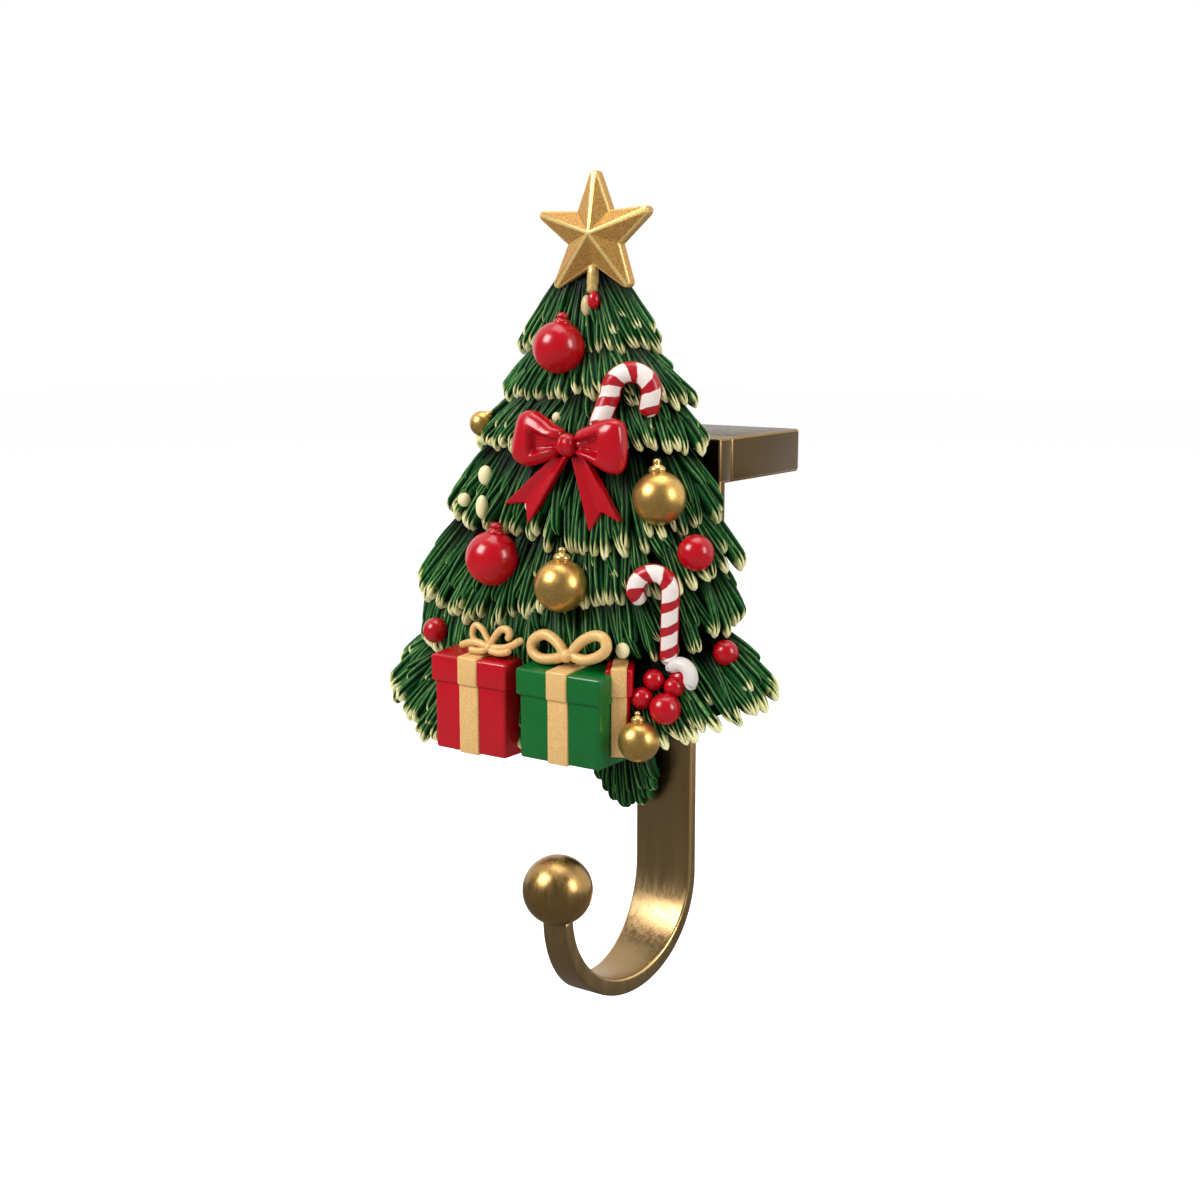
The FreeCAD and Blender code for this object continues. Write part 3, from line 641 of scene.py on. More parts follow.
def make_row(index, blank, paints):
    """One row of boughs: a dark core, a full layer of fingers to the lip and a shorter one on it."""
    half, depth = ROWS[index][3], ROWS[index][4]
    add_piece(f"foliage_core_{index + 1}", make_core(index), [paints["core"]], smooth=False)

    bm = bmesh.new()
    lengths = arc_lengths(half, depth)
    for spacing_share, least, most, lift_out, tip_lift, pale in LAYERS:
        spacing = FINGER_SPACING * spacing_share
        if index == len(ROWS) - 1:
            spacing *= LAST_ROW_SPACING
        count = round(lengths[-1] / spacing)
        for root_share, tip_share, turn in clump_places(count):
            angle = angle_at(lengths, tip_share)
            root = row_point(index, angle_at(lengths, root_share), 0, 0)
            place = row_point(index, angle, 1, 0)
            reach = CHANCE.uniform(least, most) - CLUMP_SHORTER * turn ** 2 / (place - root).length
            for row, middle, wide, extra in SAGS:
                if row == index:
                    reach *= 1 + extra * math.exp(-((place.x - middle) / wide) ** 2)
            end = row_point(index, angle, reach, tip_lift * CHANCE.uniform(-1, 1))
            for row, middle, wide, across, up in NUDGES:
                if row == index:
                    end += Vector((across, 0, up)) * math.exp(-((place.x - middle) / wide) ** 2)
            # Tips in the gifts' shade keep the dark green instead of the pale cream: painted shade.
            row, left, right = SHADED_TIPS
            paint_reach = CHANCE.uniform(0.95, 1.0) if CHANCE.random() < pale else DARK_TIP
            if row == index and left < place.x < right:
                paint_reach = DARK_TIP
            outward = Vector((math.cos(angle) / half, -math.sin(angle) / depth, 0)).normalized()
            root += outward * (lift_out - CLUMP_LOWER * turn ** 2)
            end += outward * (lift_out - CLUMP_LOWER * turn ** 2)
            finger(
                bm, blank, root, end, outward, FINGER_SPACING * CHANCE.uniform(1.0, 1.35),
                CHANCE.uniform(0.9, 1.3), 1.7, CHANCE.uniform(2.2, 3.4), CHANCE.random(), paint_reach,
                turn * CLUMP_CURVE,
            )
    clip_behind(bm)
    add_piece(f"foliage_row_{index + 1}", bm, [paints["foliage"]])


def clip_behind(bm):
    """Cut off what reaches behind the figure's flat back."""
    geometry = list(bm.verts) + list(bm.edges) + list(bm.faces)
    bmesh.ops.bisect_plane(
        bm, geom=geometry, dist=0.0001, plane_co=(0, FIGURE_BACK, 0), plane_no=(0, 1, 0), clear_outer=True,
    )
    rim = [e for e in bm.edges if e.is_boundary]
    bmesh.ops.holes_fill(bm, edges=rim, sides=0)


def make_tuft(blank, paints):
    """The tuft that hangs below the tree in front of the strap."""
    bm = bmesh.new()
    root_middle = Vector((-8.8, -4.4, -56.0))
    outward = Vector((0, -1, 0))
    for count, reach, lift in ((10, 1.0, 0.0), (7, 0.84, 0.4)):
        for i in range(count):
            share = 2 * i / (count - 1) - 1
            root = root_middle + Vector((share * 6.4 - 1.0, -lift, 0))
            fall = 0.45 if share < 0 else 0.28
            drop = 21.8 * reach * (1 - fall * share ** 2) * CHANCE.uniform(0.97, 1.03)
            end = root_middle + Vector((share * 8.8 - 0.2, -lift, -drop))
            ridges = CHANCE.uniform(2.4, 3.4)
            finger(bm, blank, root, end, outward, 2.9, 1.1, 2.2, ridges, CHANCE.random(), 0.88)
    add_piece("tuft", bm, [paints["foliage"]])
    core = bmesh.new()
    rounded_box(core, (-15.6, -6.0, -69.0), (-1.6, -1.0, -50.0), 1.5)
    rounded_box(core, (-15.6, FIGURE_BACK - 2, -56.0), (-1.6, -1.0, -46.0), 0.5)
    add_piece("tuft_core", core, [paints["core"]])


def make_back_pad(paints):
    """The raised pad on the figure's back that meets the strap."""
    low, high = (Vector(corner) for corner in BACK_PAD)
    pad = bmesh.new()
    place = Matrix.Translation((low + high) / 2) @ Matrix.Diagonal((*(high - low), 1))
    bmesh.ops.create_cube(pad, size=1, matrix=place)
    corners = [e for e in pad.edges if abs((e.verts[0].co - e.verts[1].co).y) > 1]
    bmesh.ops.bevel(
        pad, geom=corners, offset=BACK_PAD_CORNER, segments=1, profile=0.5, affect="EDGES", material=-1,
    )
    add_piece("back_pad", pad, [paints["core"]], smooth=False)


# ---------------------------------------------------------------- star
STAR_CENTRE = Vector((-10.2, -11.5, 54.1))
STAR_HALF = (15.4, 13.7)
STAR_WAIST = 0.47
STAR_WALL = 2.2
STAR_RISE = 3.4
STAR_TIP = 1.1
# How far single points stand off a regular star, across and up, by their place in the outline
STAR_SHIFTS = {2: (0.0, 0.5), 4: (-1.3, -0.2), 8: (-0.5, 0.9)}
STAR_APEX = (0.8, 0.3)
STAR_ARC = 4


def star_outline():
    """Points round the star, each with whether a ridge or a valley ends there. Its points are round."""
    outline = []
    for step in range(10):
        turned = math.pi / 2 + step * math.pi / 5
        out = Vector((math.cos(turned), 0, math.sin(turned)))
        scale = Vector((STAR_HALF[0], 1, STAR_HALF[1]))
        if step % 2:
            outline.append((Vector((out.x * scale.x, 0, out.z * scale.z)) * STAR_WAIST, "valley"))
            continue
        across, up = STAR_SHIFTS.get(step, (0.0, 0.0))
        tip = Vector((out.x * scale.x + across, 0, out.z * scale.z + up)) - out * STAR_TIP
        for n in range(-STAR_ARC // 2, STAR_ARC // 2 + 1):
            lean = turned + n * math.radians(70) / (STAR_ARC / 2)
            point = tip + STAR_TIP * Vector((math.cos(lean), 0, math.sin(lean)))
            outline.append((point, "ridge" if n == 0 else "arc"))
    return outline


def make_star(paints):
    """Five pointed star with ridges, on its stem with a small bulb."""
    bm = bmesh.new()
    outline = star_outline()
    ring = bmesh.ops.create_circle(bm, segments=len(outline), radius=1, cap_ends=True)["verts"]
    for vert, (point, kind) in zip(ring, outline):
        vert.co = STAR_CENTRE + point
    made = bmesh.ops.extrude_face_region(bm, geom=list(bm.faces))
    lifted = [v for v in made["geom"] if isinstance(v, bmesh.types.BMVert)]
    bmesh.ops.translate(bm, vec=(0, -STAR_WALL, 0), verts=lifted)
    front = [f for f in made["geom"] if isinstance(f, bmesh.types.BMFace)]
    apex = bmesh.ops.poke(bm, faces=front)["verts"][0]
    apex.co = STAR_CENTRE + Vector((STAR_APEX[0], -STAR_WALL - STAR_RISE, STAR_APEX[1]))
    bmesh.ops.recalc_face_normals(bm, faces=bm.faces)
    kinds = {tuple(round(c, 3) for c in STAR_CENTRE + point + Vector((0, -STAR_WALL, 0))): kind for point, kind in outline}
    # The ridges and the front rim are bevelled in the pale gold as a painted highlight.
    bright = [e for e in bm.edges if all(v in lifted for v in e.verts)]
    for edge in apex.link_edges:
        if kinds[tuple(round(c, 3) for c in edge.other_vert(apex).co)] == "ridge":
            bright.append(edge)
    bmesh.ops.bevel(bm, geom=bright, offset=0.42, segments=3, profile=0.6, affect="EDGES", material=1)
    add_piece("star", bm, [paints["star"], paints["star_edge"]], smooth=False)

    bm = bmesh.new()
    stem = [(0, 0), (1.2, 0.1), (1.5, 0.7), (1.3, 1.5), (1.4, 2.4), (1.25, 4.4), (1.1, 6.0), (0, 6.2)]
    lathe(bm, stem, Matrix.Translation((-10.8, -12.9, 41.6)))
    add_piece("star_stem", bm, [paints["star_edge"]])

    bm = bmesh.new()
    ball(bm, Vector((-11.9, -13.8, 38.8)), 1.3, (1.0, 0.9, 1.9), 20)
    add_piece("bulb_snow", bm, [paints["cream"]])
    bm = bmesh.new()
    ball(bm, Vector((-9.7, -14.3, 40.1)), 1.4, (1.0, 0.9, 1.4), 20)
    add_piece("bulb_red", bm, [paints["red"]])


# ---------------------------------------------------------------- baubles, berries and beads
BAUBLES = [
    ("red_bauble_1", -16.1, 29.9, 5.75, 9.0, 0.0, "red"),
    ("red_bauble_2", -28.0, -16.8, 6.2, 8.0, 0.0, "red"),
    ("red_bauble_3", 19.2, -12.8, 3.95, None, 0.0, "red"),
    ("red_bauble_4", 24.5, -34.5, 2.8, None, 0.9, "red"),
    ("red_bauble_5", -46.4, -35.5, 2.95, None, 1.7, "red"),
    ("gold_bauble_1", 11.4, -1.4, 5.8, -5.0, 0.0, "gold"),
    ("gold_bauble_2", -7.7, -20.8, 5.85, 3.0, 0.0, "gold"),
    ("gold_bauble_3", 12.5, -52.6, 4.5, -3.0, 0.0, "gold"),
    ("gold_bauble_4", -40.2, 12.1, 2.9, 45.0, 1.6, "gold"),
]
BAUBLE_SINK = 0.55
# Cap profiles in bauble radii: a wide cap with a knob in gold, and a short collar in red
GOLD_CAP = [
    (0.26, 0.93), (0.31, 0.99), (0.32, 1.08), (0.26, 1.17), (0.14, 1.22), (0.12, 1.27),
    (0.15, 1.34), (0.11, 1.43), (0.0, 1.46),
]
RED_CAP = [
    (0.30, 0.92), (0.31, 1.0), (0.25, 1.07), (0.16, 1.1), (0.2, 1.15), (0.22, 1.22), (0.17, 1.3), (0.0, 1.34),
]
BERRIES = [(12.9, -40.1, 2.35), (17.3, -41.3, 2.2), (11.3, -43.9, 2.45), (16.9, -45.6, 3.4)]
BERRY_PROUD = 1.2
BEADS = [
    ("bead_1", 7.3, -33.7, 1.75, 1.0), ("bead_2", -14.4, 14.7, 1.3, 1.0),
    ("bead_3", -35.2, 0.8, 2.0, 1.15), ("bead_4", -41.2, -5.1, 1.8, 0.9), ("bead_5", -33.6, -6.0, 1.7, 1.6),
]


def make_baubles(paints):
    for name, x, z, radius, slant, proud, paint_name in BAUBLES:
        centre = Vector((x, seat(x, z) - radius * (1 - BAUBLE_SINK) - proud, z))
        bm = bmesh.new()
        ball(bm, centre, radius, segments=56)
        add_piece(name, bm, [paints[paint_name]])
        if slant is None:
            continue
        bm = bmesh.new()
        lean = Matrix.Rotation(math.radians(slant), 4, "Y")
        size = Matrix.Scale(radius, 4)
        profile = RED_CAP if paint_name == "red" else GOLD_CAP
        lathe(bm, profile, Matrix.Translation(centre) @ lean @ size)
        add_piece(name + "_cap", bm, [paints["red" if paint_name == "red" else "cap_gold"]])


def make_berries(paints):
    bm = bmesh.new()
    for x, z, radius in BERRIES:
        ball(bm, Vector((x, seat(x, z) - radius * (1 - BAUBLE_SINK) - BERRY_PROUD, z)), radius, segments=32)
    add_piece("berries", bm, [paints["red"]])
    for name, x, z, radius, tall in BEADS:
        bm = bmesh.new()
        ball(bm, Vector((x, seat(x, z) - radius * 0.75, z)), radius, (0.9, 0.8, tall), segments=20)
        add_piece(name, bm, [paints["snow"]])


# ---------------------------------------------------------------- ribbon bow
BOW_CENTRE = (-7.6, 9.5)


def loop_hollow(vert, plane, knot_x, end_x, side):
    """Press the fold of a bow loop in, with a sharp mouth and creases that run to the knot."""
    if vert.co.y > plane:
        return
    share = (vert.co.x - knot_x) / (end_x - knot_x)
    half = 1.6 + 4.2 * smooth_step(0.0, 1.0, share)
    off = (vert.co.z - BOW_CENTRE[1] - side * 0.6 * share) / half
    mouth = smooth_step(0.62, 0.50, share) * smooth_step(-0.05, 0.3, share)
    vert.co.y += 2.3 * mouth * smooth_step(0.85, 0.35, abs(off))
    for place in (-0.42, 0.5):
        crease = math.exp(-((off - place) / 0.12) ** 2) * smooth_step(0.5, 0.1, share)
        vert.co.y += 0.6 * crease


def make_bow(paints):
    plane = seat(*BOW_CENTRE) - 2.2
    left = [(-9.5, 12.0), (-12.5, 13.7), (-15.5, 15.6), (-18.4, 16.5), (-21.0, 15.6), (-22.4, 12.0), (-23.3, 7.5),
            (-22.4, 5.3), (-19.3, 4.2), (-15.5, 5.0), (-11.0, 7.1)]
    right = [(-5.9, 12.2), (-2.2, 14.0), (0.8, 15.2), (3.8, 15.5), (5.8, 14.4), (6.5, 11.0), (6.4, 7.0),
             (5.4, 4.2), (3.4, 3.7), (0.6, 4.6), (-2.2, 6.2), (-5.9, 7.6)]
    bm = bmesh.new()
    for verts, knot_x, end_x, side in (
        (pillow(bm, left, (-16.6, 9.9), 3.4, 3.0, rings=26, sides=96), -9.0, -23.3, 1),
        (pillow(bm, right, (0.6, 9.6), 3.4, 3.0, rings=26, sides=96), -6.2, 6.5, 1),
    ):
        for vert in verts:
            vert.co.y += plane
            loop_hollow(vert, plane, knot_x, end_x, side)
    add_piece("bow_loops", bm, [paints["red"]])

    bm = bmesh.new()
    knot = ball(bm, Vector((BOW_CENTRE[0], plane - 1.6, BOW_CENTRE[1])), 2.5, (0.92, 1.0, 1.02), 40)
    for vert in knot:
        off = (vert.co.x - BOW_CENTRE[0]) / 2.5
        groove = math.exp(-((off - 0.1) / 0.13) ** 2)
        vert.co.y += 0.7 * groove if vert.co.y < plane - 1.6 else 0.0
    add_piece("bow_knot", bm, [paints["red"]])

    tails = [
        ((-12.6, 6.4), (-25.6, -4.6), (-20.2, -4.0), (-18.9, -8.7), (-8.6, 7.0)),
        ((-7.4, 7.0), (-2.9, -9.4), (-0.6, -4.8), (4.9, -6.5), (-4.2, 7.4)),
    ]
    bm = bmesh.new()
    for root_a, end_a, notch, end_b, root_b in tails:
        add_tail(bm, plane, root_a, end_a, notch, end_b, root_b)
    add_piece("bow_tails", bm, [paints["red"]])


def add_tail(bm, plane, root_a, end_a, notch, end_b, root_b):
    """A ribbon tail: two faces that meet in a fold, thick at its edges, with a notched end."""
    def point(place, share, proud):
        x, z = place
        y = (plane - 0.6) * (1 - share) + (seat(*notch) - 2.4) * share
        return Vector((x, y - proud, z))

    middle = tuple((a + b) / 2 for a, b in zip(root_a, root_b))
    corners = [
        (point(root_a, 0, 0.3), point(end_a, 1, 0.3), point(notch, 1, -0.9), point(middle, 0, -0.7)),
        (point(middle, 0, -0.7), point(notch, 1, -0.9), point(end_b, 1, 0.3), point(root_b, 0, 0.3)),
    ]
    start = set(bm.verts)
    for quad in corners:
        bm.faces.new([bm.verts.new(p) for p in quad])
    fresh = [v for v in bm.verts if v not in start]
    bmesh.ops.remove_doubles(bm, verts=fresh, dist=0.001)
    fresh = [v for v in bm.verts if v not in start]
    faces = list({f for v in fresh for f in v.link_faces})
    made = bmesh.ops.extrude_face_region(bm, geom=faces)
    back = [v for v in made["geom"] if isinstance(v, bmesh.types.BMVert)]
    bmesh.ops.translate(bm, vec=(0, 2.4, 0), verts=back)
    fresh = [v for v in bm.verts if v not in start]
    edges = list({e for v in fresh for e in v.link_edges})
    bmesh.ops.recalc_face_normals(bm, faces=list({f for v in fresh for f in v.link_faces}))
    bmesh.ops.bevel(bm, geom=edges, offset=0.5, segments=4, profile=0.5, affect="EDGES", clamp_overlap=True)


# ---------------------------------------------------------------- candy canes
def make_cane(name, foot, bend, turn, tip, radius, proud, paints):
    """A cane from its foot through its crook to its tip, lying on the boughs."""
    def on_boughs(x, z):
        return Vector((x, seat(x, z) - radius * 0.6 - proud, z))

    foot, bend, turn, tip = (on_boughs(*place) for place in (foot, bend, turn, tip))
    span = turn - bend
    line = [foot.lerp(bend, n / 12) for n in range(12)]
    for step in range(25):
        angle = math.pi * step / 24
        crown = Vector((0, 0, math.sin(angle) * span.length / 2))
        line.append(bend + span * ((1 - math.cos(angle)) / 2) + crown)
    line.append(tip)
    bm = bmesh.new()
    cord(bm, dense_ends(line, radius), radius, sides=28)
    add_piece(name, bm, [paints["sugar"]])


def make_curl(paints):
    """The curl of white sugar at the foot of the lower cane."""
    centre = Vector((18.5, seat(18.5, -39.2) - 3.2, -39.0))
    line = []
    for step in range(22):
        angle = math.radians(165 - 215 * step / 21)
        line.append(centre + Vector((2.6 * math.cos(angle), 0, 2.7 * math.sin(angle))))
    bm = bmesh.new()
    cord(bm, dense_ends(line, 1.6), 1.6, sides=20)
    add_piece("sugar_curl", bm, [paints["white"]])
    bm = bmesh.new()
    ball(bm, centre + Vector((-0.6, 0.6, -0.8)), 2.2, (1.1, 0.8, 1.0), 24)
    add_piece("curl_heart", bm, [paints["red"]])


# ---------------------------------------------------------------- gifts
GIFT_FRONT = -36.0
GIFT_DEPTH = 13.0
LID_HEIGHT = 6.0
LID_OVERHANG = 0.6
LID_SLOPE = 1.2
RIBBON_WIDTH = 5.4
RIBBON_PROUD = 0.45


def make_gift(name, edges, front, paint_name, paints, ribbon_wide=RIBBON_WIDTH, turn=0.0):
    """A wrapped box: body, lid that slopes up to the back, and a ribbon over both. It may be
    turned about the middle of its front, in degrees."""
    left, right, bottom, top = edges
    back = front + GIFT_DEPTH
    middle = (left + right) / 2
    half = ribbon_wide / 2
    pivot = Matrix.Translation((middle, front, 0))
    turned = pivot @ Matrix.Rotation(math.radians(turn), 4, "Z") @ pivot.inverted()
    bm = bmesh.new()
    rounded_box(
        bm, (left + LID_OVERHANG, front + LID_OVERHANG, bottom), (right - LID_OVERHANG, back, top - LID_HEIGHT / 2),
        0.8,
    )
    bm.transform(turned)
    add_piece(name + "_body", bm, [paints[paint_name]])
    bm = bmesh.new()
    rounded_box(bm, (left, front, top - LID_HEIGHT), (right, back, top), 0.55)
    slope_top(bm, front, back, top)
    bm.transform(turned)
    add_piece(name + "_lid", bm, [paints[paint_name]])
    bm = bmesh.new()
    rounded_box(
        bm, (middle - half, front - RIBBON_PROUD, top - LID_HEIGHT), (middle + half, back, top + RIBBON_PROUD), 0.4,
    )
    slope_top(bm, front, back, top)
    rounded_box(
        bm, (middle - half, front + LID_OVERHANG - RIBBON_PROUD, bottom - 0.15),
        (middle + half, back - 1, top - LID_HEIGHT + 0.4), 0.35,
    )
    bm.transform(turned)
    add_piece(name + "_ribbon", bm, [paints["ribbon"]])


def slope_top(bm, front, back, top):
    """Raise the top towards the back."""
    for vert in bm.verts:
        if vert.co.z > top - 1.2:
            vert.co.z += LID_SLOPE * (vert.co.y - front) / (back - front)


def gift_loop(bm, places, y, radius, closed=True, lean=0.0):
    """A loop of ribbon cord through (x, z) places, leaning back towards its top."""
    low = min(z for _, z in places)
    points = [Vector((x, y + lean * (z - low), z)) for x, z in places]
    line = smooth_line(points, per_span=6, closed=closed)
    if not closed:
        line = dense_ends(line, radius)
    cord(bm, line, radius, sides=14, closed=closed)


def make_gift_bows(paints):
    y = GIFT_FRONT + 3.9
    bm = bmesh.new()
    gift_loop(bm, [(-5.1, -35.2), (-7.6, -32.6), (-10.8, -31.6), (-13.6, -33.2), (-13.6, -35.6), (-11.2, -36.9),
                   (-7.6, -36.5)], y, 1.2, lean=0.12)
    gift_loop(bm, [(-2.8, -34.9), (-0.6, -32.0), (2.6, -30.4), (5.2, -30.8), (5.8, -33.0), (3.6, -34.9),
                   (0.1, -35.9)], y, 1.2, lean=0.12)
    ball(bm, Vector((-3.9, y - 0.7, -35.3)), 1.6, (1.0, 0.9, 0.95), 24)
    add_piece("green_gift_bow", bm, [paints["ribbon"]])
    bm = bmesh.new()
    gift_loop(bm, [(-25.2, -36.0), (-26.2, -34.4), (-28.0, -32.2), (-29.8, -31.6), (-30.6, -33.0), (-30.0, -34.8),
                   (-27.6, -36.0)], y, 0.75, lean=0.12)
    gift_loop(bm, [(-25.0, -36.0), (-24.3, -33.8), (-22.6, -31.9), (-20.8, -31.7), (-20.1, -32.9), (-20.9, -34.1)],
              y, 0.85, closed=False, lean=0.12)
    gift_loop(bm, [(-25.2, -36.0), (-28.1, -35.2), (-30.5, -35.4), (-33.4, -36.5)], y - 0.8, 0.85, closed=False)
    gift_loop(bm, [(-25.2, -36.4), (-27.6, -37.0), (-30.6, -36.8)], y - 1.2, 0.8, closed=False)
    gift_loop(bm, [(-25.0, -36.0), (-21.8, -35.8), (-19.0, -35.0), (-15.8, -33.1)], y - 0.6, 0.85, closed=False)
    gift_loop(bm, [(-25.0, -36.4), (-22.6, -36.8), (-20.6, -36.6), (-18.6, -35.9)], y - 1.2, 0.8, closed=False)
    ball(bm, Vector((-25.2, y - 0.7, -36.0)), 1.2, (0.9, 0.9, 1.0), 20)
    add_piece("red_gift_bow", bm, [paints["ribbon"]])


# ---------------------------------------------------------------- bracket
def make_bracket(paints):
    """The mantel block, the head and plate, the strap with its J hook, and the ball."""
    width, depth, height = BLOCK
    half = width / 2
    bm = bmesh.new()
    size = Matrix.Diagonal((width, depth, height, 1))
    bmesh.ops.create_cube(bm, size=1, matrix=Matrix.Translation((0, HEAD_THICKNESS + depth / 2, height / 2)) @ size)
    back_corners = [e for e in bm.edges if min(v.co.y for v in e.verts) > HEAD_THICKNESS + 1]
    bmesh.ops.bevel(
        bm, geom=back_corners, offset=BLOCK_CORNER, segments=6, profile=0.5, affect="EDGES", material=-1,
    )
    # The rims take the lighter brass: wear, with painted highlight on their rounding.
    rims = [e for e in bm.edges if e.calc_face_angle(0) > 0.5]
    bmesh.ops.bevel(bm, geom=rims, offset=METAL_EDGE, segments=3, profile=0.5, affect="EDGES", material=1)
    add_piece("block", bm, [paints["brass"], paints["brass_wear_and_highlight"]], replaced="mantel_block")

    bm = bmesh.new()
    # The head's and the plate's eased edges take the lighter brass too: wear, with painted highlight.
    rounded_box(bm, (-half, 0, 0), (half, HEAD_THICKNESS, height), METAL_EDGE, material=1)
    outline = [(half, 1.0), (half, PLATE_BOTTOM), (STRAP_HALF_WIDTH, SHOULDER_BOTTOM)]
    outline += [(-x, z) for x, z in reversed(outline)]
    face = bm.faces.new([bm.verts.new((x, 0, z)) for x, z in outline])
    made = bmesh.ops.extrude_face_region(bm, geom=[face])
    back = [v for v in made["geom"] if isinstance(v, bmesh.types.BMVert)]
    bmesh.ops.translate(bm, vec=(0, STRAP_THICKNESS, 0), verts=back)
    edges = list({e for v in list(face.verts) + back for e in v.link_edges})
    bmesh.ops.recalc_face_normals(bm, faces=bm.faces)
    bmesh.ops.bevel(bm, geom=edges, offset=METAL_EDGE, segments=3, profile=0.5, affect="EDGES", material=1)
    add_piece("head_plate", bm, [paints["brass"], paints["brass_wear_and_highlight"]], replaced="hook_strap")

    bm = bmesh.new()
    # The strap below the plate takes the lighter copy of the brass, as painted light, while the head plate above keeps
    # the darker one.
    sweep(bm, hook_stations(), sides=24)
    add_piece("strap_and_hook", bm, [paints["brass_strap"]], replaced="hook_strap")

    bm = bmesh.new()
    ball(bm, BALL_CENTRE, BALL_RADIUS, segments=72)
    add_piece("ball", bm, [paints["brass_ball"]], replaced="hook_ball")


def hook_stations():
    """Sections of the strap and the J hook: its sides close in to the tip and it thickens on the bend."""
    outer_radius = (2 * BEND_RADIUS + STRAP_THICKNESS + TIP_THICKNESS) / 2
    outer_centre_z = BEND_CENTRE_Z - BEND_RADIUS - BEND_THICKNESS + outer_radius
    across = Vector((1, 0, 0))
    stations = []
    front = -2 * BEND_RADIUS

    def add(inner, outer):
        middle = (inner + outer) / 2
        outward = (inner - outer).normalized()
        share = (STRAP_THICKNESS - middle.y) / (STRAP_THICKNESS - front + TIP_THICKNESS)
        half_width = STRAP_HALF_WIDTH + (TIP_HALF_WIDTH - STRAP_HALF_WIDTH) * min(max(share, 0), 1)
        stations.append((middle, across, outward, half_width, (inner - outer).length / 2, 0.6))

    for step in range(8):
        z = SHOULDER_BOTTOM + 1.5 + (BEND_CENTRE_Z - SHOULDER_BOTTOM - 1.5) * step / 8
        add(Vector((0, 0, z)), Vector((0, STRAP_THICKNESS, z)))
    for step in range(49):
        angle = math.pi * step / 48
        turn = Vector((0, math.cos(angle), -math.sin(angle)))
        inner = Vector((0, -BEND_RADIUS, BEND_CENTRE_Z)) + turn * BEND_RADIUS
        outer = Vector((0, STRAP_THICKNESS - outer_radius, outer_centre_z)) + turn * outer_radius
        add(inner, outer)
    return stations


# ---------------------------------------------------------------- camera, light and stage
def look_at(location, target):
    direction = Vector(target) - Vector(location)
    return direction.to_track_quat("-Z", "Y")


def add_camera():
    data = bpy.data.cameras.new("camera")
    data.sensor_width = 36.0
    data.lens = 51.0
    data.clip_start, data.clip_end = 0.01, 20.0
    camera = bpy.data.objects.new("camera", data)
    bpy.context.scene.collection.objects.link(camera)
    camera.location = (0.20767, -0.34350, 0.04060)
    camera.rotation_mode = "QUATERNION"
    camera.rotation_quaternion = look_at(camera.location, (-0.012058, -0.029693, -0.02695))
    bpy.context.scene.camera = camera


def add_softbox(name, location, target, size, power):
    data = bpy.data.lights.new(name, "AREA")
    data.shape = "RECTANGLE"
    data.size, data.size_y = size
    data.energy = power
    lamp = bpy.data.objects.new(name, data)
    bpy.context.scene.collection.objects.link(lamp)
    lamp.location = location
    lamp.rotation_mode = "QUATERNION"
    lamp.rotation_quaternion = look_at(location, target)


CARD_REACH = 1.3
CARD_TURN = math.radians(12)
CARD_SPREAD = math.radians(92)
CARD_FLOOR = -0.158


def add_lights():
    """A broad lamp at the upper left, a narrow one at the right and a soft one above, in a
    white room whose camera side is dark."""
    middle = (-0.01, -0.03, -0.03)
    add_softbox("key_left", (-0.30, -0.60, 0.46), middle, (0.36, 0.36), 6.0)
    add_softbox("fill_right", (0.78, -0.02, 0.26), middle, (0.20, 0.42), 3.2)
    add_softbox("top", (0.0, 0.05, 0.75), middle, (0.5, 0.5), 2.5)
    world = bpy.data.worlds.new("studio")
    bpy.context.scene.world = world
    world.use_nodes = True
    tree = world.node_tree
    paths = tree.nodes.new("ShaderNodeLightPath")
    seen = None
    for ray in ("Is Camera Ray", "Is Glossy Ray", "Is Transmission Ray"):
        if seen is None:
            seen = paths.outputs[ray]
            continue
        either = tree.nodes.new("ShaderNodeMath")
        either.operation = "MAXIMUM"
        tree.links.new(seen, either.inputs[0])
        tree.links.new(paths.outputs[ray], either.inputs[1])
        seen = either.outputs[0]
    mix = tree.nodes.new("ShaderNodeMix")
    mix.data_type = "RGBA"
    tree.links.new(seen, mix.inputs[0])
    mix.inputs[6].default_value = (0.25, 0.25, 0.25, 1)
    mix.inputs[7].default_value = (1, 1, 1, 1)
    tree.links.new(mix.outputs[2], tree.nodes["Background"].inputs["Color"])


def add_card():
    """A dark dome piece behind the camera, which only reflections see."""
    bm = bmesh.new()
    bmesh.ops.create_icosphere(bm, subdivisions=4, radius=CARD_REACH)
    middle = Vector((math.sin(CARD_TURN), -math.cos(CARD_TURN), -0.3)).normalized()
    far = [f for f in bm.faces if f.calc_center_median().normalized().dot(middle) < math.cos(CARD_SPREAD)]
    bmesh.ops.delete(bm, geom=far, context="FACES")
    for vert in bm.verts:
        vert.co.z = max(vert.co.z, CARD_FLOOR)
    mesh = bpy.data.meshes.new("dark_card")
    bm.to_mesh(mesh)
    bm.free()
    shader = Shader("card_dark", Roughness=0.9, Emission_Strength=0.16)
    shader.set(shader.surface, "Base Color", (0, 0, 0, 1))
    shader.set(shader.surface, "Emission Color", (1, 1, 1, 1))
    mesh.materials.append(shader.material)
    card = bpy.data.objects.new("dark_card", mesh)
    bpy.context.scene.collection.objects.link(card)
    card.visible_camera = False
    card.visible_diffuse = False
    card.visible_shadow = False


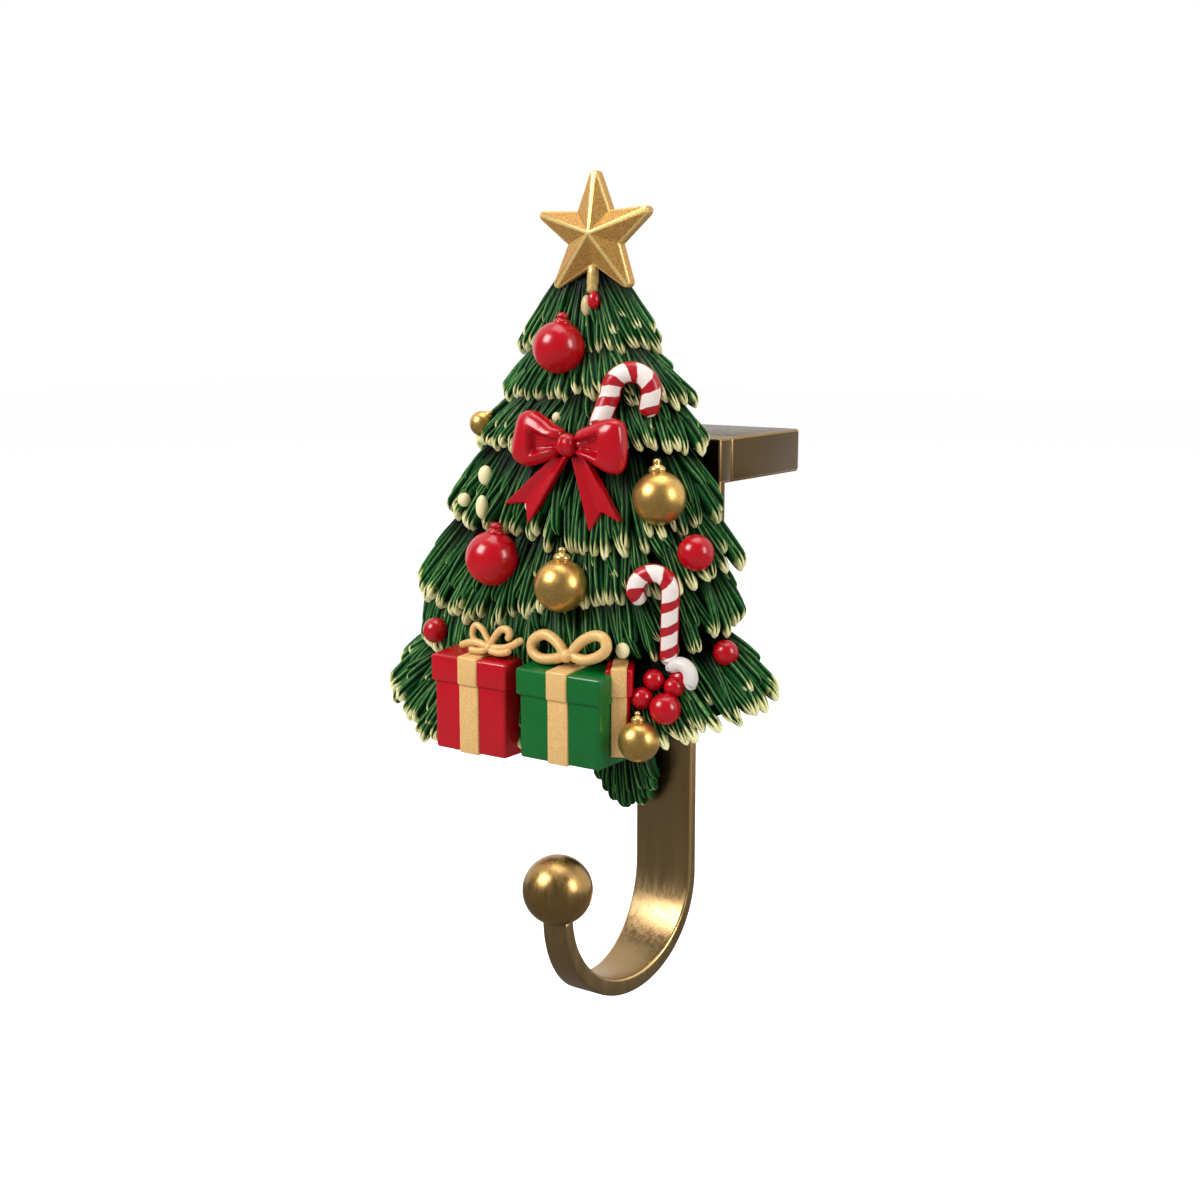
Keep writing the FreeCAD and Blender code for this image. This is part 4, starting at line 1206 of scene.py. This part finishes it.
def add_floor():
    """A white floor far enough below that the object's shadow on it stays faint."""
    bm = bmesh.new()
    bmesh.ops.create_grid(bm, x_segments=1, y_segments=1, size=3.0, matrix=Matrix.Translation((0, 0, -0.16)))
    mesh = bpy.data.meshes.new("floor")
    bm.to_mesh(mesh)
    bm.free()
    shader = Shader("floor_white", Roughness=0.9)
    shader.set(shader.surface, "Base Color", (0.8, 0.8, 0.8, 1))
    shader.set(shader.surface, "Emission Color", (1, 1, 1, 1))
    seen = shader.math(
        "MAXIMUM", shader.add("ShaderNodeLightPath", "Is Camera Ray"),
        shader.add("ShaderNodeLightPath", "Is Glossy Ray"),
    )
    shader.set(shader.surface, "Emission Strength", shader.math("MULTIPLY", seen, 0.72))
    mesh.materials.append(shader.material)
    floor = bpy.data.objects.new("floor", mesh)
    bpy.context.scene.collection.objects.link(floor)


# ---------------------------------------------------------------- the scene
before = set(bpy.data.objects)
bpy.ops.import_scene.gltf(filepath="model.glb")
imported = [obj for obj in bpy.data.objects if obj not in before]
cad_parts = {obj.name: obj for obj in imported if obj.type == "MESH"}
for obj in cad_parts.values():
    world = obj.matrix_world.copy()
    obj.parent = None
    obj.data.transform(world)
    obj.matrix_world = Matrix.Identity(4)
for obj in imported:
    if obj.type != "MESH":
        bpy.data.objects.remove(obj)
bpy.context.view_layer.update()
bpy.context.scene.view_settings.view_transform = "Standard"

PAINTS = {
    "foliage": foliage_paint(),
    "core": core_base_and_shade_paint(),
    "red": gloss_paint("red_gloss", colour(166, 0, 18), colour(186, 2, 24), 0.22),
    "green": gloss_paint("green_gloss", colour(0, 88, 32), colour(2, 106, 40), 0.28),
    "white": plain_paint("sugar_white", colour(214, 206, 200), 0.4),
    "snow": plain_paint("snow_white", colour(234, 222, 170), 0.4),
    "cream": plain_paint("cream_drop", colour(206, 182, 132), 0.4),
    "sugar": striped_sugar(),
    "gold": gold_paint("bauble_gold", colour(204, 160, 84), colour(220, 178, 102), 0.33, 0.9, 0.05),
    "cap_gold": gold_paint("cap_gold", colour(214, 172, 98), colour(232, 196, 126), 0.28, 0.75, 0.05),
    "ribbon": gold_paint("ribbon_gold", colour(214, 168, 102), colour(228, 186, 120), 0.45, 0.1, 0.2),
    "star": gold_paint("star_gold", colour(182, 132, 64), colour(212, 164, 90), 0.40, 0.6, 0.4),
    # The pale gold paints the star's ridges as a painted highlight and is the stem's own colour.
    "star_edge": gold_paint("star_edge_gold", colour(220, 184, 108), colour(238, 208, 138), 0.38, 0.5, 0.2),
    # One antique brass in copies of different lightness: the strap's copy is painted lighter than the block's, as
    # painted light, and the head plate, part of the same strap, keeps the block's darker copy, as painted shade beside
    # the tree; the ball has a copy of its own.
    "brass": antique_brass("brass", colour(68, 52, 30), colour(98, 78, 48), colour(206, 160, 92)),
    "brass_wear_and_highlight": antique_brass("brass_wear_and_highlight", colour(136, 108, 66), colour(166, 136, 88), colour(180, 148, 98)),
    "brass_strap": antique_brass(
        "brass_strap", colour(148, 118, 78), colour(190, 160, 114), colour(222, 186, 124), roughness=0.34),
    "brass_ball": antique_brass(
        "brass_ball", colour(158, 124, 74), colour(182, 146, 90), colour(206, 160, 92), 0.0, 0.32),
}

finger_mesh = finger_blank()
for row_index in range(len(ROWS)):
    make_row(row_index, finger_mesh, PAINTS)
make_tuft(finger_mesh, PAINTS)
make_star(PAINTS)
make_baubles(PAINTS)
make_berries(PAINTS)
make_bow(PAINTS)
make_cane("upper_cane", (-3.2, 12.0), (-1.2, 20.4), (7.2, 20.6), (6.4, 15.4), 2.3, 0.0, PAINTS)
make_cane("lower_cane", (15.2, -37.0), (16.9, -20.4), (9.6, -20.7), (9.7, -23.5), 2.0, 1.3, PAINTS)
make_curl(PAINTS)
make_gift("red_gift", (-39.5, -18.2, -60.2, -38.6), GIFT_FRONT, "red", PAINTS)
make_gift("green_gift", (-15.4, 7.0, -58.9, -38.8), GIFT_FRONT, "green", PAINTS)
make_gift("rear_gift", (5.3, 11.2, -56.5, -37.4), GIFT_FRONT + 5.5, "red", PAINTS, 3.4, 30.0)
make_gift_bows(PAINTS)
make_bracket(PAINTS)
make_back_pad(PAINTS)

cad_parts["grip_pad"].data.materials.clear()
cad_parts["grip_pad"].data.materials.append(plain_paint("pad_rubber", (0.02, 0.02, 0.02, 1), 0.8))
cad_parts["figure_screws"].data.materials.clear()
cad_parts["figure_screws"].data.materials.append(plain_paint("screw_steel", (0.5, 0.5, 0.5, 1), 0.35, 1.0))

add_camera()
add_lights()
add_floor()
add_card()
